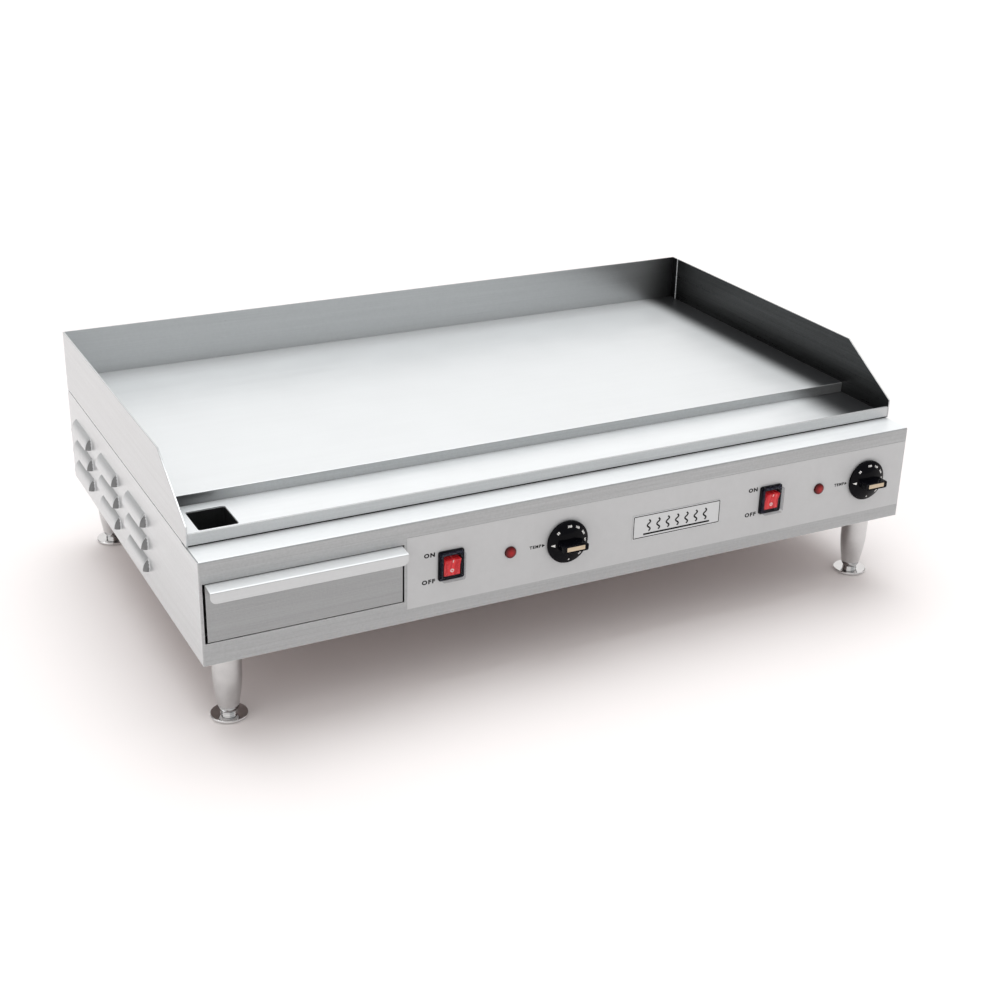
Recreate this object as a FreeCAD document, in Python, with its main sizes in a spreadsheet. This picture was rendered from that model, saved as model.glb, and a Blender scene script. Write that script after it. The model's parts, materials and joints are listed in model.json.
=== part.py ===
import FreeCAD, Part
import Sketcher
import math
import os
import re

V = FreeCAD.Vector

# ---------------------------------------------------------------------------
# Countertop electric griddle, millimetres.
# +X is to the operator's right, +Y away from the operator, +Z up.
# The origin is on the worktop under the middle of the machine.
# ---------------------------------------------------------------------------

DRIVING = {
    # whole machine
    "BodyWidth": 914, "BodyDepth": 545, "BodyHeight": 119.5, "LegHeight": 86.5,
    "Skin": 1.2, "Reach": 24, "Overrun": 1,
    # welded top: plate, splash guards, grease trough (heights above the case underside)
    "SplashSkin": 2, "SplashTop": 197.2, "SplashLow": 143, "SplashFoot": 120.3,
    "SplashFront": 38, "SplashPeak": 128, "FootWide": 12,
    "PlateTop": 136.5, "PlateThick": 14.5, "PlateFront": 130.5, "PlateRound": 1.2,
    "TroughFloor": 123.8, "LipTop": 134.5, "LipBottom": 121.4, "LipThick": 3,
    "SealInset": 1.6, "SealWidth": 10, "WeldGap": 0.2,
    "DrainLeft": -435, "DrainRight": -391, "DrainFront": 65, "DrainBack": 115,
    "DrainRound": 2.5, "DrainPlateEnd": -371, "ChuteSkin": 1.5, "ChuteBottom": 95,
    # heating pack
    "TubeRadius": 4, "TubeAxis": 117.6, "RunPitch": 100, "RunFront": 200, "RunRear": 472,
    "RunTail": 135, "ZoneCentre": 228, "BarTop": 113.3, "BarThick": 3, "BarLength": 380,
    "BarWidth": 25, "BarSetback": 60, "StudRadius": 4, "StudLength": 20, "StudSpan": 100,
    "StudGap": 0.5, "ThreadGap": 0.02, "NutHigh": 6.5, "NutCorner": 7.5,
    "WoolBottom": 98, "WoolTop": 109.5, "WoolGap": 1,
    "PanHalf": 440, "PanFront": 142, "PanBack": 538, "PanBottom": 96.6, "PanRim": 118,
    "BulbOffset": 80, "BulbSetback": 10, "BulbRadius": 3, "BulbLong": 120, "LeadRadius": 0.9,
    "LeadBend": 12, "LeadSide": 12, "LeadRun": 35, "LeadCross": 20, "LeadClimb": 10, "LeadClear": 9,
    # case
    "LedgeDeep": 55, "BendRadius": 1.9, "CornerRound": 1.1, "FlangeWide": 14,
    "OpenLeft": -454, "OpenRight": -230,
    "OpenBottom": 25.5, "OpenTop": 94.8, "BayWall": -228.2,
    "LouverLong": 80, "LouverHigh": 15.5, "LouverOut": 8, "LouverWall": 1.2,
    "LouverRound": 6.5, "LouverColumn": 232, "LouverColumnPitch": 121.5,
    "LouverRow": 22, "LouverRowPitch": 27.5, "HoodCurve": 0.28, "HoodCurveInside": 0.34,
    "OverlayLeft": -227, "OverlayRight": 455.5, "OverlayBottom": 16, "OverlayTop": 102,
    "OverlayThick": 0.4, "PlateNameLeft": 58, "PlateNameRight": 180,
    "PlateNameBottom": 43, "PlateNameTop": 73.5, "PlateNameThick": 0.8,
    # controls
    "ZonePitch": 427, "SwitchX": -175, "LampX": -101.5, "KnobX": -29.8, "ControlZ": 60.5,
    "CutoutGap": 0.3, "NeckGap": 0.4,
    "SwitchZ": 60.8, "BezelWide": 31, "BezelHigh": 35.4, "BezelThick": 2.4,
    "CanWide": 25, "CanHigh": 31, "CanDeep": 24, "RimReach": 4.4, "RimWall": 2, "WellDeep": 16,
    "RockerWide": 19, "RockerHigh": 23.5, "RockerGap": 0.5, "RockerLean": 20, "RockerRise": 8,
    "RockerHeel": 1.5, "RockerToe": 0.5, "RockerTail": 8.4, "SwitchPivot": 3.4,
    "PinRadius": 1.2, "PinLong": 1.4, "PinGap": 0.05, "PinEndGap": 0.2,
    "BootWide": 28, "BootHigh": 33.4, "BootReach": 10.4, "BootSkin": 0.7,
    "LensRadius": 7, "LensReach": 4.2, "LensEdge": 1.6, "LampRadius": 5, "LampDeep": 28,
    "KnobRadius": 25.8, "KnobSkirt": 5, "KnobDome": 11.5, "KnobGap": 1.2,
    "BarKnobLong": 32, "BarKnobWide": 9, "InsertLong": 23, "InsertWide": 5.2,
    "InsertSink": 0.3, "InsertDeep": 1.5,
    "ShaftRadius": 3, "ShaftBore": 3.05, "ShaftLong": 32, "ShaftOut": 14, "ShaftSeat": 22,
    "StatWide": 44, "StatDeep": 36, "StatHigh": 40, "StatNeck": 5, "StatGap": 5,
    # drawer
    "FrontLeft": -451, "FrontRight": -232, "FrontBottom": 26.7, "FrontTop": 92.3,
    "FrontSkin": 1.5, "HandleReach": 17, "HandleTop": 93.5, "HandleBottom": 79,
    "HandleRound": 7, "HandleFall": 1.5, "TrayLeft": -447, "TrayRight": -236, "TrayDeep": 300,
    "TrayBottom": 28, "TrayTop": 86, "TraySkin": 1, "TrayRound": 8,
    "RailWide": 18, "RailHigh": 22, "RailTop": 27.6, "RailExtra": 20,
    # legs and feet
    "LegInset": 35, "LegInsetRear": 30.5, "LegTopRadius": 16.6, "LegShoulder": 50,
    "LegShoulderRadius": 16.2, "LegWaist": 18, "LegWaistRadius": 12.2, "LegLowRadius": 8.6,
    "LegBottom": 7.3, "LegBellyLow": 0.9, "LegBellyHigh": 0.6, "LegPlug": 5, "LegStudLong": 12,
    "LegNutCorner": 9.2, "LegNutHigh": 8, "ScrewRadius": 5, "ScrewBore": 5.06, "ScrewLong": 58,
    "FootRadius": 20.8, "FootThick": 4, "FootHub": 8.8, "FootHubTop": 7,
    "FootTaper": 2.5, "FootRimLow": 1.8, "FootRimFall": 1, "FootRimIn": 1.2, "FootSwell": 0.3,
    # back
    "ScrewHead": 3.6, "ScrewHeadHigh": 2, "ScrewPitch": 215, "ScrewEdge": 14,
    "GlandX": 300, "GlandZ": 55, "GlandFlange": 15, "GlandDome": 12, "GlandBore": 6.5,
    "GlandHole": 8.5, "GlandThread": 8.2, "GlandThreadLong": 18, "GlandInside": 12,
    "GlandFlangeThick": 8, "TerminalHalf": 35, "TerminalFront": 80, "TerminalRear": 52,
    "TerminalTop": 30, "TerminalHole": 3, "TerminalPitch": 16, "TerminalHoleZ": 20,
}

doc = FreeCAD.newDocument("flat_top_griddle")
sheet = doc.addObject("Spreadsheet::Sheet", "Dim")
for row, (alias, number) in enumerate(DRIVING.items(), start=1):
    sheet.set(f"A{row}", alias)
    sheet.set(f"B{row}", str(number))
    sheet.setAlias(f"B{row}", alias)
doc.recompute()

# Places that many pieces share, as expressions over the sheet's cells.
HALF = "BodyWidth/2"
FACE = "(0 - BodyDepth/2)"
BACK = "BodyDepth/2"
CASE_TOP = "(LegHeight + BodyHeight)"
INNER = "(BodyWidth/2 - Skin)"
WELD = "(BodyWidth/2 - SplashSkin)"

nodes = []


def up(alias):
    """A height above the case underside, as a height above the worktop."""
    return f"(LegHeight + {alias})"


def inward(alias):
    """A depth behind the front panel's face, as a Y position."""
    return f"({FACE} + {alias})"


def linked(expression):
    """The same expression with every word that is a cell's alias pointed at the sheet."""
    return re.sub(r"[A-Z][A-Za-z]+", lambda word: "Dim." + word.group(0), str(expression))


def number(expression):
    """The expression's value now, for first guesses and for picking edges."""
    return float(sheet.evalExpression(linked(expression)))


def bind(thing, **properties):
    for name, expression in properties.items():
        thing.setExpression(name.replace("__", "."), linked(expression))
    return thing


def put(thing, x=0, y=0, z=0):
    bind(thing, Placement__Base__x=x, Placement__Base__y=y, Placement__Base__z=z)
    return thing


def node(thing, label):
    thing.Label = label
    nodes.append(thing)
    return thing


def block(name, x, y, z):
    """A box from its low and high X, Y and Z."""
    box = doc.addObject("Part::Box", name)
    bind(box, Length=f"({x[1]}) - ({x[0]})", Width=f"({y[1]}) - ({y[0]})")
    bind(box, Height=f"({z[1]}) - ({z[0]})")
    return put(box, x[0], y[0], z[0])


def rod(name, radius, length, at, axis=V(0, 0, 1)):
    """A cylinder that starts at a point and runs along an axis."""
    cylinder = doc.addObject("Part::Cylinder", name)
    cylinder.Placement = FreeCAD.Placement(V(0, 0, 0), FreeCAD.Rotation(V(0, 0, 1), axis))
    bind(cylinder, Radius=radius, Height=length)
    return put(cylinder, *at)


def join(name, pieces):
    fuse = doc.addObject("Part::MultiFuse", name)
    fuse.Shapes = pieces
    fuse.Refine = True
    return fuse


def group(name, pieces):
    """Separate solids kept as one node."""
    compound = doc.addObject("Part::Compound", name)
    compound.Links = pieces
    return compound


def cut(name, base, tool):
    result = doc.addObject("Part::Cut", name)
    result.Base = base
    result.Tool = tool if not isinstance(tool, list) else join(name + "_cutters", tool)
    result.Refine = True
    return result


def sketch_on(body, role, name, offset="0"):
    """A sketch on one of the body's own origin planes, moved along the plane's normal."""
    sketch = body.newObject("Sketcher::SketchObject", f"{body.Name}_{name}")
    plane = next(f for f in body.Origin.OriginFeatures if f.Role == role)
    sketch.AttachmentSupport = [(plane, "")]
    sketch.MapMode = "FlatFace"
    sketch.setExpression("AttachmentOffset.Base.z", linked(offset))
    return sketch


def polygon(sketch, corners, bulges=None):
    """A closed outline whose corners are held by expressions.

    bulges gives, for a side's number, the height of an arc that replaces the straight side.
    """
    bulges = bulges or {}
    points = [V(number(a), number(b), 0) for a, b in corners]
    sides = []
    for i, start in enumerate(points):
        end = points[(i + 1) % len(points)]
        if i in bulges:
            chord = end - start
            side = V(chord.y, -chord.x, 0).normalize()
            crest = (start + end) * 0.5 + side * number(bulges[i])
            sides.append(sketch.addGeometry(Part.Arc(start, crest, end), False))
            radius = sketch.Geometry[sides[-1]].Radius
            sketch.addConstraint(Sketcher.Constraint("Radius", sides[-1], radius))
        else:
            sides.append(sketch.addGeometry(Part.LineSegment(start, end), False))
    for i, (a, b) in enumerate(corners):
        own = joint_of(sketch, sides[i], points[i])
        last = joint_of(sketch, sides[i - 1], points[i])
        sketch.addConstraint(Sketcher.Constraint("Coincident", sides[i - 1], last, sides[i], own))
        for kind, expression, value in (("DistanceX", a, points[i].x), ("DistanceY", b, points[i].y)):
            held = sketch.addConstraint(Sketcher.Constraint(kind, sides[i], own, value))
            sketch.setExpression(f"Constraints[{held}]", linked(expression))
    return sides


def joint_of(sketch, side, point):
    """1 for a side's start, 2 for its end, whichever lies at the point."""
    return 1 if sketch.getPoint(side, 1).distanceToPoint(point) < 1e-6 else 2


def circle(sketch, centre, radius):
    at = V(number(centre[0]), number(centre[1]), 0)
    ring = sketch.addGeometry(Part.Circle(at, V(0, 0, 1), number(radius)), False)
    held = sketch.addConstraint(Sketcher.Constraint("Radius", ring, number(radius)))
    sketch.setExpression(f"Constraints[{held}]", linked(radius))
    for kind, expression, value in (("DistanceX", centre[0], at.x), ("DistanceY", centre[1], at.y)):
        held = sketch.addConstraint(Sketcher.Constraint(kind, ring, 3, value))
        sketch.setExpression(f"Constraints[{held}]", linked(expression))


def window(sketch, x, y):
    polygon(sketch, [(x[0], y[0]), (x[1], y[0]), (x[1], y[1]), (x[0], y[1])])


def dome_bulge(radius, rise):
    """Height of the arc that makes a true spherical cap of this radius and rise."""
    ball = (number(radius) ** 2 + number(rise) ** 2) / (2 * number(rise))
    chord = math.hypot(number(radius), number(rise))
    return ball - math.sqrt(ball ** 2 - chord ** 2 / 4)


def new_body(name):
    return doc.addObject("PartDesign::Body", name)


def pad(body, sketch, length, middle=False, back=False):
    feature = body.newObject("PartDesign::Pad", f"{body.Name}_pad_{len(body.Group)}")
    feature.Profile = sketch
    feature.Midplane = middle
    feature.Reversed = back
    return bind(feature, Length=length)


def pocket(body, sketch, length, middle=False, back=False):
    """A pocket that must take material away."""
    doc.recompute()
    before = body.Shape.Volume
    feature = body.newObject("PartDesign::Pocket", f"{body.Name}_pocket_{len(body.Group)}")
    feature.Profile = sketch
    feature.Midplane = middle
    feature.Reversed = back
    bind(feature, Length=length)
    doc.recompute()
    if body.Shape.Volume >= before - 1e-6:
        raise RuntimeError(f"{feature.Name} cuts nothing")
    return feature


def round_edges(body, radius, wanted, kind="Fillet"):
    """Fillets or chamfers the edges of the body's shape so far that the test picks."""
    doc.recompute()
    tip = body.Tip
    names = [f"Edge{i}" for i, edge in enumerate(tip.Shape.Edges, start=1) if wanted(edge)]
    feature = body.newObject(f"PartDesign::{kind}", f"{body.Name}_{kind}_{len(body.Group)}")
    feature.Base = (tip, names)
    key = "Radius" if kind == "Fillet" else "Size"
    return bind(feature, **{key: radius})


def runs_along(edge, axis):
    if not isinstance(edge.Curve, Part.Line):
        return False
    return abs(edge.Curve.Direction.dot(axis)) > 0.999


def rounded_block(name, x, y, z, radius):
    """An upright box whose four standing edges are rounded."""
    body = new_body(name)
    outline = sketch_on(body, "XY_Plane", "outline", z[0])
    window(outline, x, y)
    pad(body, outline, f"({z[1]}) - ({z[0]})")
    round_edges(body, radius, lambda edge: runs_along(edge, V(0, 0, 1)))
    return body


def turned(name, profile, bulges=None):
    """A body turned about Z from a half outline of (radius, height) corners."""
    body = new_body(name)
    outline = sketch_on(body, "XZ_Plane", "outline")
    polygon(outline, profile, bulges)
    feature = body.newObject("PartDesign::Revolution", name + "_turn")
    feature.Profile = outline
    feature.ReferenceAxis = (outline, ["V_Axis"])
    feature.Angle = 360
    return body


def face_forward(body):
    """Lays a turned body down, so that its own +Z points at the operator."""
    body.Placement = FreeCAD.Placement(V(0, 0, 0), FreeCAD.Rotation(V(0, 0, 1), V(0, -1, 0)))
    return body


# ------------------------------------------------------------- the welded top


def griddle_plate():
    body = new_body("griddle_plate")
    outline = sketch_on(body, "XY_Plane", "outline", up("PlateTop - PlateThick"))
    window(outline, (f"0 - {WELD}", WELD), (inward("PlateFront"), f"{BACK} - SplashSkin"))
    pad(body, outline, "PlateThick")
    crest = number(up("PlateTop"))
    nose = number(inward("PlateFront"))

    def front_top(edge):
        middle = edge.CenterOfMass
        return abs(middle.z - crest) < 0.01 and abs(middle.y - nose) < 0.01

    round_edges(body, "PlateRound", front_top)
    node(body, "griddle_plate")


def splash_guards():
    """Upright sheets round three sides, each with a foot turned in under the plate."""
    foot_height = (up("SplashFoot"), up("PlateTop - PlateThick"))
    outline = [
        (inward("SplashFront"), up("SplashFoot")),
        (inward("SplashFront"), up("SplashLow")),
        (inward("SplashPeak"), up("SplashTop")),
        (BACK, up("SplashTop")),
        (BACK, up("SplashFoot")),
    ]
    for side, offset in (("left", f"0 - {HALF}"), ("right", WELD)):
        body = new_body("splash_sheet_" + side)
        sketch = sketch_on(body, "YZ_Plane", "outline", offset)
        polygon(sketch, outline)
        pad(body, sketch, "SplashSkin")
        sign = -1 if side == "left" else 1
        across = sorted((f"{sign}*{WELD}", f"{sign}*({WELD} - FootWide)"), key=number)
        foot = block("splash_foot_" + side, across,
                     (inward("PlateFront"), f"{BACK} - SplashSkin - FootWide"), foot_height)
        node(join("splash_" + side, [body, foot]), "splash_" + side)
    rear = block("splash_rear", (f"0 - {WELD}", WELD), (f"{BACK} - SplashSkin", BACK),
                 (up("SplashFoot"), up("SplashTop")))
    rear_foot = block("splash_foot_rear", (f"0 - {WELD}", WELD),
                      (f"{BACK} - SplashSkin - FootWide", f"{BACK} - SplashSkin"), foot_height)
    node(join("splash_back", [rear, rear_foot]), "splash_back")


def grease_trough():
    """Channel in front of the plate: a long floor, a thick bar as its front lip, and at the left
    a short plate with the drain hole, welded flush with the floor."""
    across = (f"0 - {WELD}", WELD)
    lip_front = inward("SplashFront + WeldGap")
    lip_back = inward("SplashFront + WeldGap + LipThick")
    depth = (lip_back, inward("PlateFront"))
    floor = (up("TroughFloor - SplashSkin"), up("TroughFloor"))
    node(block("trough_lip", across, (lip_front, lip_back), (up("LipBottom"), up("LipTop"))), "trough_lip")
    node(block("grease_trough", ("DrainPlateEnd", WELD), depth, floor), "grease_trough")
    body = new_body("drain_plate")
    sketch = sketch_on(body, "XY_Plane", "outline", floor[0])
    window(sketch, (across[0], "DrainPlateEnd"), depth)
    pad(body, sketch, "SplashSkin")
    drain = sketch_on(body, "XY_Plane", "drain", up("TroughFloor"))
    window(drain, ("DrainLeft", "DrainRight"), (inward("DrainFront"), inward("DrainBack")))
    pocket(body, drain, "SplashSkin")

    def hole_corner(edge):
        middle = edge.CenterOfMass
        inside = number("DrainLeft") - 1 < middle.x < number("DrainRight") + 1
        return runs_along(edge, V(0, 0, 1)) and inside

    round_edges(body, "DrainRound", hole_corner)
    node(body, "drain_plate")


def drain_chute():
    floor = up("TroughFloor - SplashSkin")
    outer = rounded_block("chute_outside", ("DrainLeft - ChuteSkin", "DrainRight + ChuteSkin"),
                          (inward("DrainFront - ChuteSkin"), inward("DrainBack + ChuteSkin")),
                          (up("ChuteBottom"), floor), "DrainRound + ChuteSkin")
    inner = rounded_block("chute_inside", ("DrainLeft", "DrainRight"),
                          (inward("DrainFront"), inward("DrainBack")),
                          (up("ChuteBottom - Overrun"), up("TroughFloor")), "DrainRound")
    node(cut("drain_chute", outer, inner), "drain_chute")


def top_seal():
    """Heatproof strip that the welded top stands on, all round and set in a little from the outside."""
    outer = f"({HALF} - SealInset)"
    rise = (CASE_TOP, up("SplashFoot"))
    ahead = inward("LedgeDeep")
    strips = []
    for sign in (-1, 1):
        ends = sorted((f"{sign}*{outer}", f"{sign}*({outer} - SealWidth)"), key=number)
        strips.append(block(f"seal_side_{len(strips)}", ends, (ahead, f"{BACK} - SealInset"), rise))
    strips.append(block("seal_rear", (f"0 - {outer}", outer),
                        (f"{BACK} - SealInset - SealWidth", f"{BACK} - SealInset"), rise))
    under_lip = (inward("SplashFront + WeldGap + SealInset"), inward("SplashFront + SealInset + SealWidth"))
    strips.append(block("seal_front", (f"0 - {WELD}", WELD), under_lip, (CASE_TOP, up("LipBottom"))))
    node(group("top_seal", [join("seal_top", strips[:3]), strips[3]]), "top_seal")


# --------------------------------------------------------- heating pack inside


def serpentine(side, sign):
    """One tubular element: four runs joined by half-turns, both ends at the front."""
    pieces = []
    height = up("TubeAxis")
    for i in range(4):
        x = f"{sign}*ZoneCentre + RunPitch*({i} - 1.5)"
        tail = i in (0, 3)
        start = inward("RunTail") if tail else inward("RunFront")
        length = f"({inward('RunRear')}) - ({start})"
        pieces.append(rod(f"run_{side}_{i}", "TubeRadius", length, (x, start, height), V(0, 1, 0)))
    for i in range(3):
        turn = doc.addObject("Part::Torus", f"turn_{side}_{i}")
        at_rear = i != 1
        spin = 0 if at_rear else 180
        turn.Placement = FreeCAD.Placement(V(0, 0, 0), FreeCAD.Rotation(V(0, 0, 1), spin))
        turn.Angle3 = 180
        bind(turn, Radius1="RunPitch/2", Radius2="TubeRadius")
        put(turn, f"{sign}*ZoneCentre + RunPitch*({i} - 1)",
            inward("RunRear") if at_rear else inward("RunFront"), height)
        pieces.append(turn)
    node(join("heating_element_" + side, pieces), "heating_element_" + side)


def stud_places():
    """The (x, y) of every welded stud: two clamp bars a zone, two studs a bar."""
    return [(f"{zone}*ZoneCentre + {end}*StudSpan", inward(y))
            for zone in (-1, 1) for y in ("RunFront + BarSetback", "RunRear - BarSetback") for end in (-1, 1)]


def clamp_hardware():
    studs, nuts, bars = [], [], []
    root = up("PlateTop - PlateThick")
    bar_bottom = up("BarTop - BarThick")
    for i, (x, y) in enumerate(stud_places()):
        studs.append(rod(f"stud_{i}", "StudRadius", "StudLength", (x, y, f"{root} - StudLength")))
        nut = doc.addObject("Part::Prism", f"nut_blank_{i}")
        nut.Polygon = 6
        bind(nut, Circumradius="NutCorner", Height="NutHigh")
        put(nut, x, y, f"{bar_bottom} - NutHigh")
        bore = rod(f"nut_bore_{i}", "StudRadius + ThreadGap", "StudLength", (x, y, up("WoolBottom")))
        nuts.append(cut(f"nut_{i}", nut, bore))
    for zone in (-1, 1):
        for j, y in enumerate(("RunFront + BarSetback", "RunRear - BarSetback")):
            body = new_body(f"bar_{j}_{'left' if zone < 0 else 'right'}")
            sketch = sketch_on(body, "XY_Plane", "outline", bar_bottom)
            middle = f"{zone}*ZoneCentre"
            window(sketch, (f"{middle} - BarLength/2", f"{middle} + BarLength/2"),
                   (f"{inward(y)} - BarWidth/2", f"{inward(y)} + BarWidth/2"))
            for end in (-1, 1):
                circle(sketch, (f"{middle} + {end}*StudSpan", inward(y)), "StudRadius + StudGap")
            pad(body, sketch, "BarThick")
            bars.append(body)
    node(group("plate_studs", studs), "plate_studs")
    node(group("clamp_bars", bars), "clamp_bars")
    node(group("clamp_nuts", nuts), "clamp_nuts")


def insulation_and_pan():
    """Mineral wool lying in a folded pan, with room for the clamp nuts."""
    body = new_body("insulation_blanket")
    sketch = sketch_on(body, "XY_Plane", "outline", up("WoolBottom"))
    side = "(PanHalf - Skin - WoolGap)"
    window(sketch, (f"0 - {side}", side), (inward("PanFront + WoolGap"), inward("PanBack - Skin - WoolGap")))
    for x, y in stud_places():
        circle(sketch, (x, y), "2*NutCorner")
    pad(body, sketch, "WoolTop - WoolBottom")
    node(body, "insulation_blanket")

    floor = (up("PanBottom"), up("PanBottom + Skin"))
    rim = (up("PanBottom"), up("PanRim"))
    depth = (inward("PanFront"), inward("PanBack"))
    pieces = [
        block("pan_floor", ("0 - PanHalf", "PanHalf"), depth, floor),
        block("pan_left", ("0 - PanHalf", "Skin - PanHalf"), depth, rim),
        block("pan_right", ("PanHalf - Skin", "PanHalf"), depth, rim),
        block("pan_rear", ("0 - PanHalf", "PanHalf"), (inward("PanBack - Skin"), inward("PanBack")), rim),
    ]
    node(join("heat_pan", pieces), "heat_pan")


def bulb_and_capillary(side, sign):
    """Sensing bulb under the plate and the thin tube that joins it to its thermostat.

    The tube is straight runs joined by tangent arcs.
    """
    knob = number("KnobX") + (number("ZonePitch") if sign > 0 else 0)
    bulb_x = sign * number("ZoneCentre") + number("BulbOffset")
    low = number(up("ControlZ + LeadSide"))
    high = number(up("TubeAxis"))
    stat_back = number(inward("Skin + StatGap + StatDeep"))
    run_end = stat_back + number("LeadRun")
    exit_x = knob + number("LeadSide")
    corners = [
        V(exit_x, stat_back, low),
        V(exit_x, run_end, low),
        V(bulb_x, run_end + number("LeadCross"), low + number("LeadClimb")),
        V(bulb_x, number(inward("PanFront - LeadClear")), high),
        V(bulb_x, number(inward("RunFront + BulbSetback")), high),
    ]
    bend = number("LeadBend")
    edges = []
    here = corners[0]
    for before, corner, after in zip(corners, corners[1:], corners[2:]):
        incoming = (corner - before).normalize()
        outgoing = (after - corner).normalize()
        turn = incoming.getAngle(outgoing)
        reach = bend * math.tan(turn / 2)
        arc_start = corner - incoming * reach
        arc_end = corner + outgoing * reach
        inside = (outgoing - incoming).normalize()
        crest = corner + inside * (bend / math.cos(turn / 2) - bend)
        edges.append(Part.LineSegment(here, arc_start).toShape())
        edges.append(Part.Arc(arc_start, crest, arc_end).toShape())
        here = arc_end
    edges.append(Part.LineSegment(here, corners[-1]).toShape())
    path = Part.Wire(edges)
    section = Part.Wire(Part.Circle(corners[0], V(0, 1, 0), number("LeadRadius")).toShape())
    tube = path.makePipeShell([section], True, False)
    bulb = Part.makeCylinder(number("BulbRadius"), number("BulbLong"), corners[-1], V(0, 1, 0))
    piece = doc.addObject("Part::Feature", "bulb_and_capillary_" + side)
    piece.Shape = tube.fuse(bulb)
    piece.Placement = FreeCAD.Placement()
    node(piece, "bulb_and_capillary_" + side)


# -------------------------------------------------------------------- the case


def zone_x(alias, sign):
    return alias if sign < 0 else f"({alias} + ZonePitch)"


def front_cutters(name, front, back_y):
    """Every hole that the switches, lamps and thermostats need in the front."""
    depth = (front, back_y)
    tools = []
    for side, sign in (("left", -1), ("right", 1)):
        x = zone_x("SwitchX", sign)
        across = (f"{x} - CanWide/2 - CutoutGap", f"{x} + CanWide/2 + CutoutGap")
        upright = (up("SwitchZ - CanHigh/2 - CutoutGap"), up("SwitchZ + CanHigh/2 + CutoutGap"))
        tools.append(block(f"{name}_switch_{side}", across, depth, upright))
        for alias, radius in (("LampX", "LampRadius + CutoutGap"), ("KnobX", "StatNeck + NeckGap")):
            at = (zone_x(alias, sign), front, up("ControlZ"))
            tools.append(rod(f"{name}_{alias}_{side}", radius, f"({back_y}) - ({front})", at, V(0, 1, 0)))
    return tools


def front_panel():
    wide = (f"0 - {INNER}", INNER)
    sheet_metal = join("front_sheet", [
        block("front_face", (f"0 - {HALF}", HALF), (FACE, inward("Skin")), ("LegHeight", CASE_TOP)),
        block("front_ledge", wide, (FACE, inward("LedgeDeep")), (f"{CASE_TOP} - Skin", CASE_TOP)),
        block("front_return", wide, (FACE, inward("FlangeWide")), (up("Skin"), up("2*Skin"))),
    ])
    opening = block("drawer_opening", ("OpenLeft", "OpenRight"), (inward("0 - Overrun"), inward("2*Skin")),
                    (up("OpenBottom"), up("OpenTop")))
    tools = front_cutters("panel", inward("0 - Overrun"), inward("2*Skin"))
    body = new_body("front_panel")
    body.BaseFeature = cut("front_blank", sheet_metal, [opening] + tools)
    face = number(FACE)
    crest = number(CASE_TOP)
    half = number(HALF)

    def outer_bend(edge):
        middle = edge.CenterOfMass
        along = runs_along(edge, V(1, 0, 0)) and abs(middle.x) < 1
        return along and abs(middle.y - face) < 0.01 and abs(middle.z - crest) < 0.01

    def front_corner(edge):
        middle = edge.CenterOfMass
        return runs_along(edge, V(0, 0, 1)) and abs(middle.y - face) < 0.01 and abs(middle.x) > half - 0.01

    round_edges(body, "BendRadius", outer_bend)
    round_edges(body, "CornerRound", front_corner)
    node(body, "front_panel")


def control_overlay():
    label = block("overlay_label", ("OverlayLeft", "OverlayRight"), (inward("0 - OverlayThick"), FACE),
                  (up("OverlayBottom"), up("OverlayTop")))
    tools = front_cutters("overlay", inward("0 - Overrun"), inward("Overrun"))
    node(cut("control_overlay", label, tools), "control_overlay")
    plate = block("nameplate", ("PlateNameLeft", "PlateNameRight"),
                  (inward("0 - OverlayThick - PlateNameThick"), inward("0 - OverlayThick")),
                  (up("PlateNameBottom"), up("PlateNameTop")))
    node(plate, "nameplate")


def louver_profile(shrink, depth_inside):
    """Section of a louver, out from the panel and up from its open lower edge."""
    return [(f"0 - {depth_inside}", "0"), (f"LouverOut - {shrink}", "0"),
            (f"0 - {depth_inside}", f"LouverHigh - {shrink}")]


def repeat_louvers(body, feature):
    """Copies a feature over the three by three grid of louvers."""
    doc.recompute()
    grid = body.newObject("PartDesign::MultiTransform", feature.Name + "_grid")
    grid.Originals = [feature]
    steps = []
    for role, pitch in (("Y_Axis", "LouverColumnPitch"), ("Z_Axis", "LouverRowPitch")):
        line = body.newObject("PartDesign::LinearPattern", f"{feature.Name}_{role}")
        axis = next(f for f in body.Origin.OriginFeatures if f.Role == role)
        line.Direction = (axis, [""])
        line.Occurrences = 3
        bind(line, Length=f"2*{pitch}")
        steps.append(line)
    grid.Transformations = steps
    body.Tip = grid
    doc.recompute()


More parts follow.
